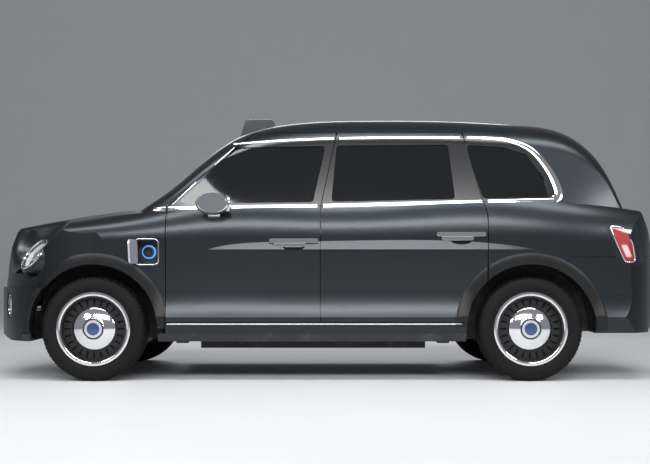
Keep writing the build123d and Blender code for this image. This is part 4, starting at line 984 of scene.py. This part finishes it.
def cushion(centre, size, lean_deg, channels):
    """A crowned cushion: thickness along X before it leans back, width along Y, height along Z."""
    points = []
    turn = Matrix.Rotation(radians(lean_deg), 3, "Y")
    for row in range(CUSHION_ROWS + 1):
        polar = pi * row / CUSHION_ROWS
        for column in range(CUSHION_COLUMNS):
            angle = 2 * pi * column / CUSHION_COLUMNS
            flat = [sin(polar) * cos(angle), sin(polar) * sin(angle), cos(polar)]
            shares = [abs(v) ** e * (1 if v > 0 else -1) for v, e in zip(flat, CUSHION_POWERS)]
            seam = abs(sin(channels * pi * (shares[1] + 1) / 2)) if channels else 1.0
            groove = GROOVE_DEPTH / size[0] * 2 * max(0.0, 1 - seam * GROOVE_NARROW)
            shares[0] -= groove * (1 if flat[0] > 0 else -1) * abs(flat[0]) ** GROOVE_FADE
            local = Vector([share * whole / 2 for share, whole in zip(shares, size)])
            points.append(turn @ local + Vector(centre))
    return points, ring_faces(CUSHION_ROWS + 1, CUSHION_COLUMNS, "open")


# middle, thickness, width and height, lean in degrees, sewn channels
SEATS = {
    "driver_seat": {
        "squab": ((-0.470, 0.37, 0.720), (0.150, 0.490, 0.440), -88.0, 5),
        "back": ((-0.190, 0.37, 0.990), (0.135, 0.470, 0.520), 13.0, 5),
        "headrest": ((-0.145, 0.37, 1.310), (0.090, 0.260, 0.150), 6.0, 0),
    },
    "rear_bench": {
        "squab": ((1.285, 0.0, 0.745), (0.150, 1.100, 0.440), -88.0, 12),
        "back": ((1.580, 0.0, 1.010), (0.130, 1.100, 0.500), 10.0, 12),
        "headrest_left": ((1.590, -0.36, 1.310), (0.088, 0.240, 0.150), 5.0, 0),
        "headrest_middle": ((1.590, 0.0, 1.310), (0.088, 0.240, 0.150), 5.0, 0),
        "headrest_right": ((1.590, 0.36, 1.310), (0.088, 0.240, 0.150), 5.0, 0),
    },
}
for node, cushions in SEATS.items():
    for part, (centre, size, lean_deg, channels) in cushions.items():
        shape = cushion(centre, size, lean_deg, channels)
        made = piece(f"{node}_{part}", *shape, leather, "body", "upholstery", crisp=60.0)
        if part == "squab":
            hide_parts(node)


def moulded_box(low, high, edge):
    """A moulded base with softened edges, between two corners."""
    bm = bmesh.new()
    bmesh.ops.create_cube(bm, size=1.0)
    for vert in bm.verts:
        vert.co = Vector((low[i] + (vert.co[i] + 0.5) * (high[i] - low[i]) for i in range(3)))
    bmesh.ops.bevel(bm, geom=bm.edges[:], offset=edge, segments=3, affect="EDGES", profile=0.6)
    bm.verts.index_update()
    shape = [v.co.copy() for v in bm.verts], [[v.index for v in f.verts] for f in bm.faces]
    bm.free()
    return shape


# Lowest and highest corners, and how far their edges are rounded
SEAT_BASES = {
    "driver_seat_base": ((-0.690, 0.145, 0.328), (-0.235, 0.595, 0.650)),
    "rear_bench_base": ((1.110, -0.550, 0.501), (1.590, 0.550, 0.675)),
}
BASE_EDGE = 0.025
for name, (low, high) in SEAT_BASES.items():
    piece(name, *moulded_box(low, high, BASE_EDGE), grain, "body", "trim")
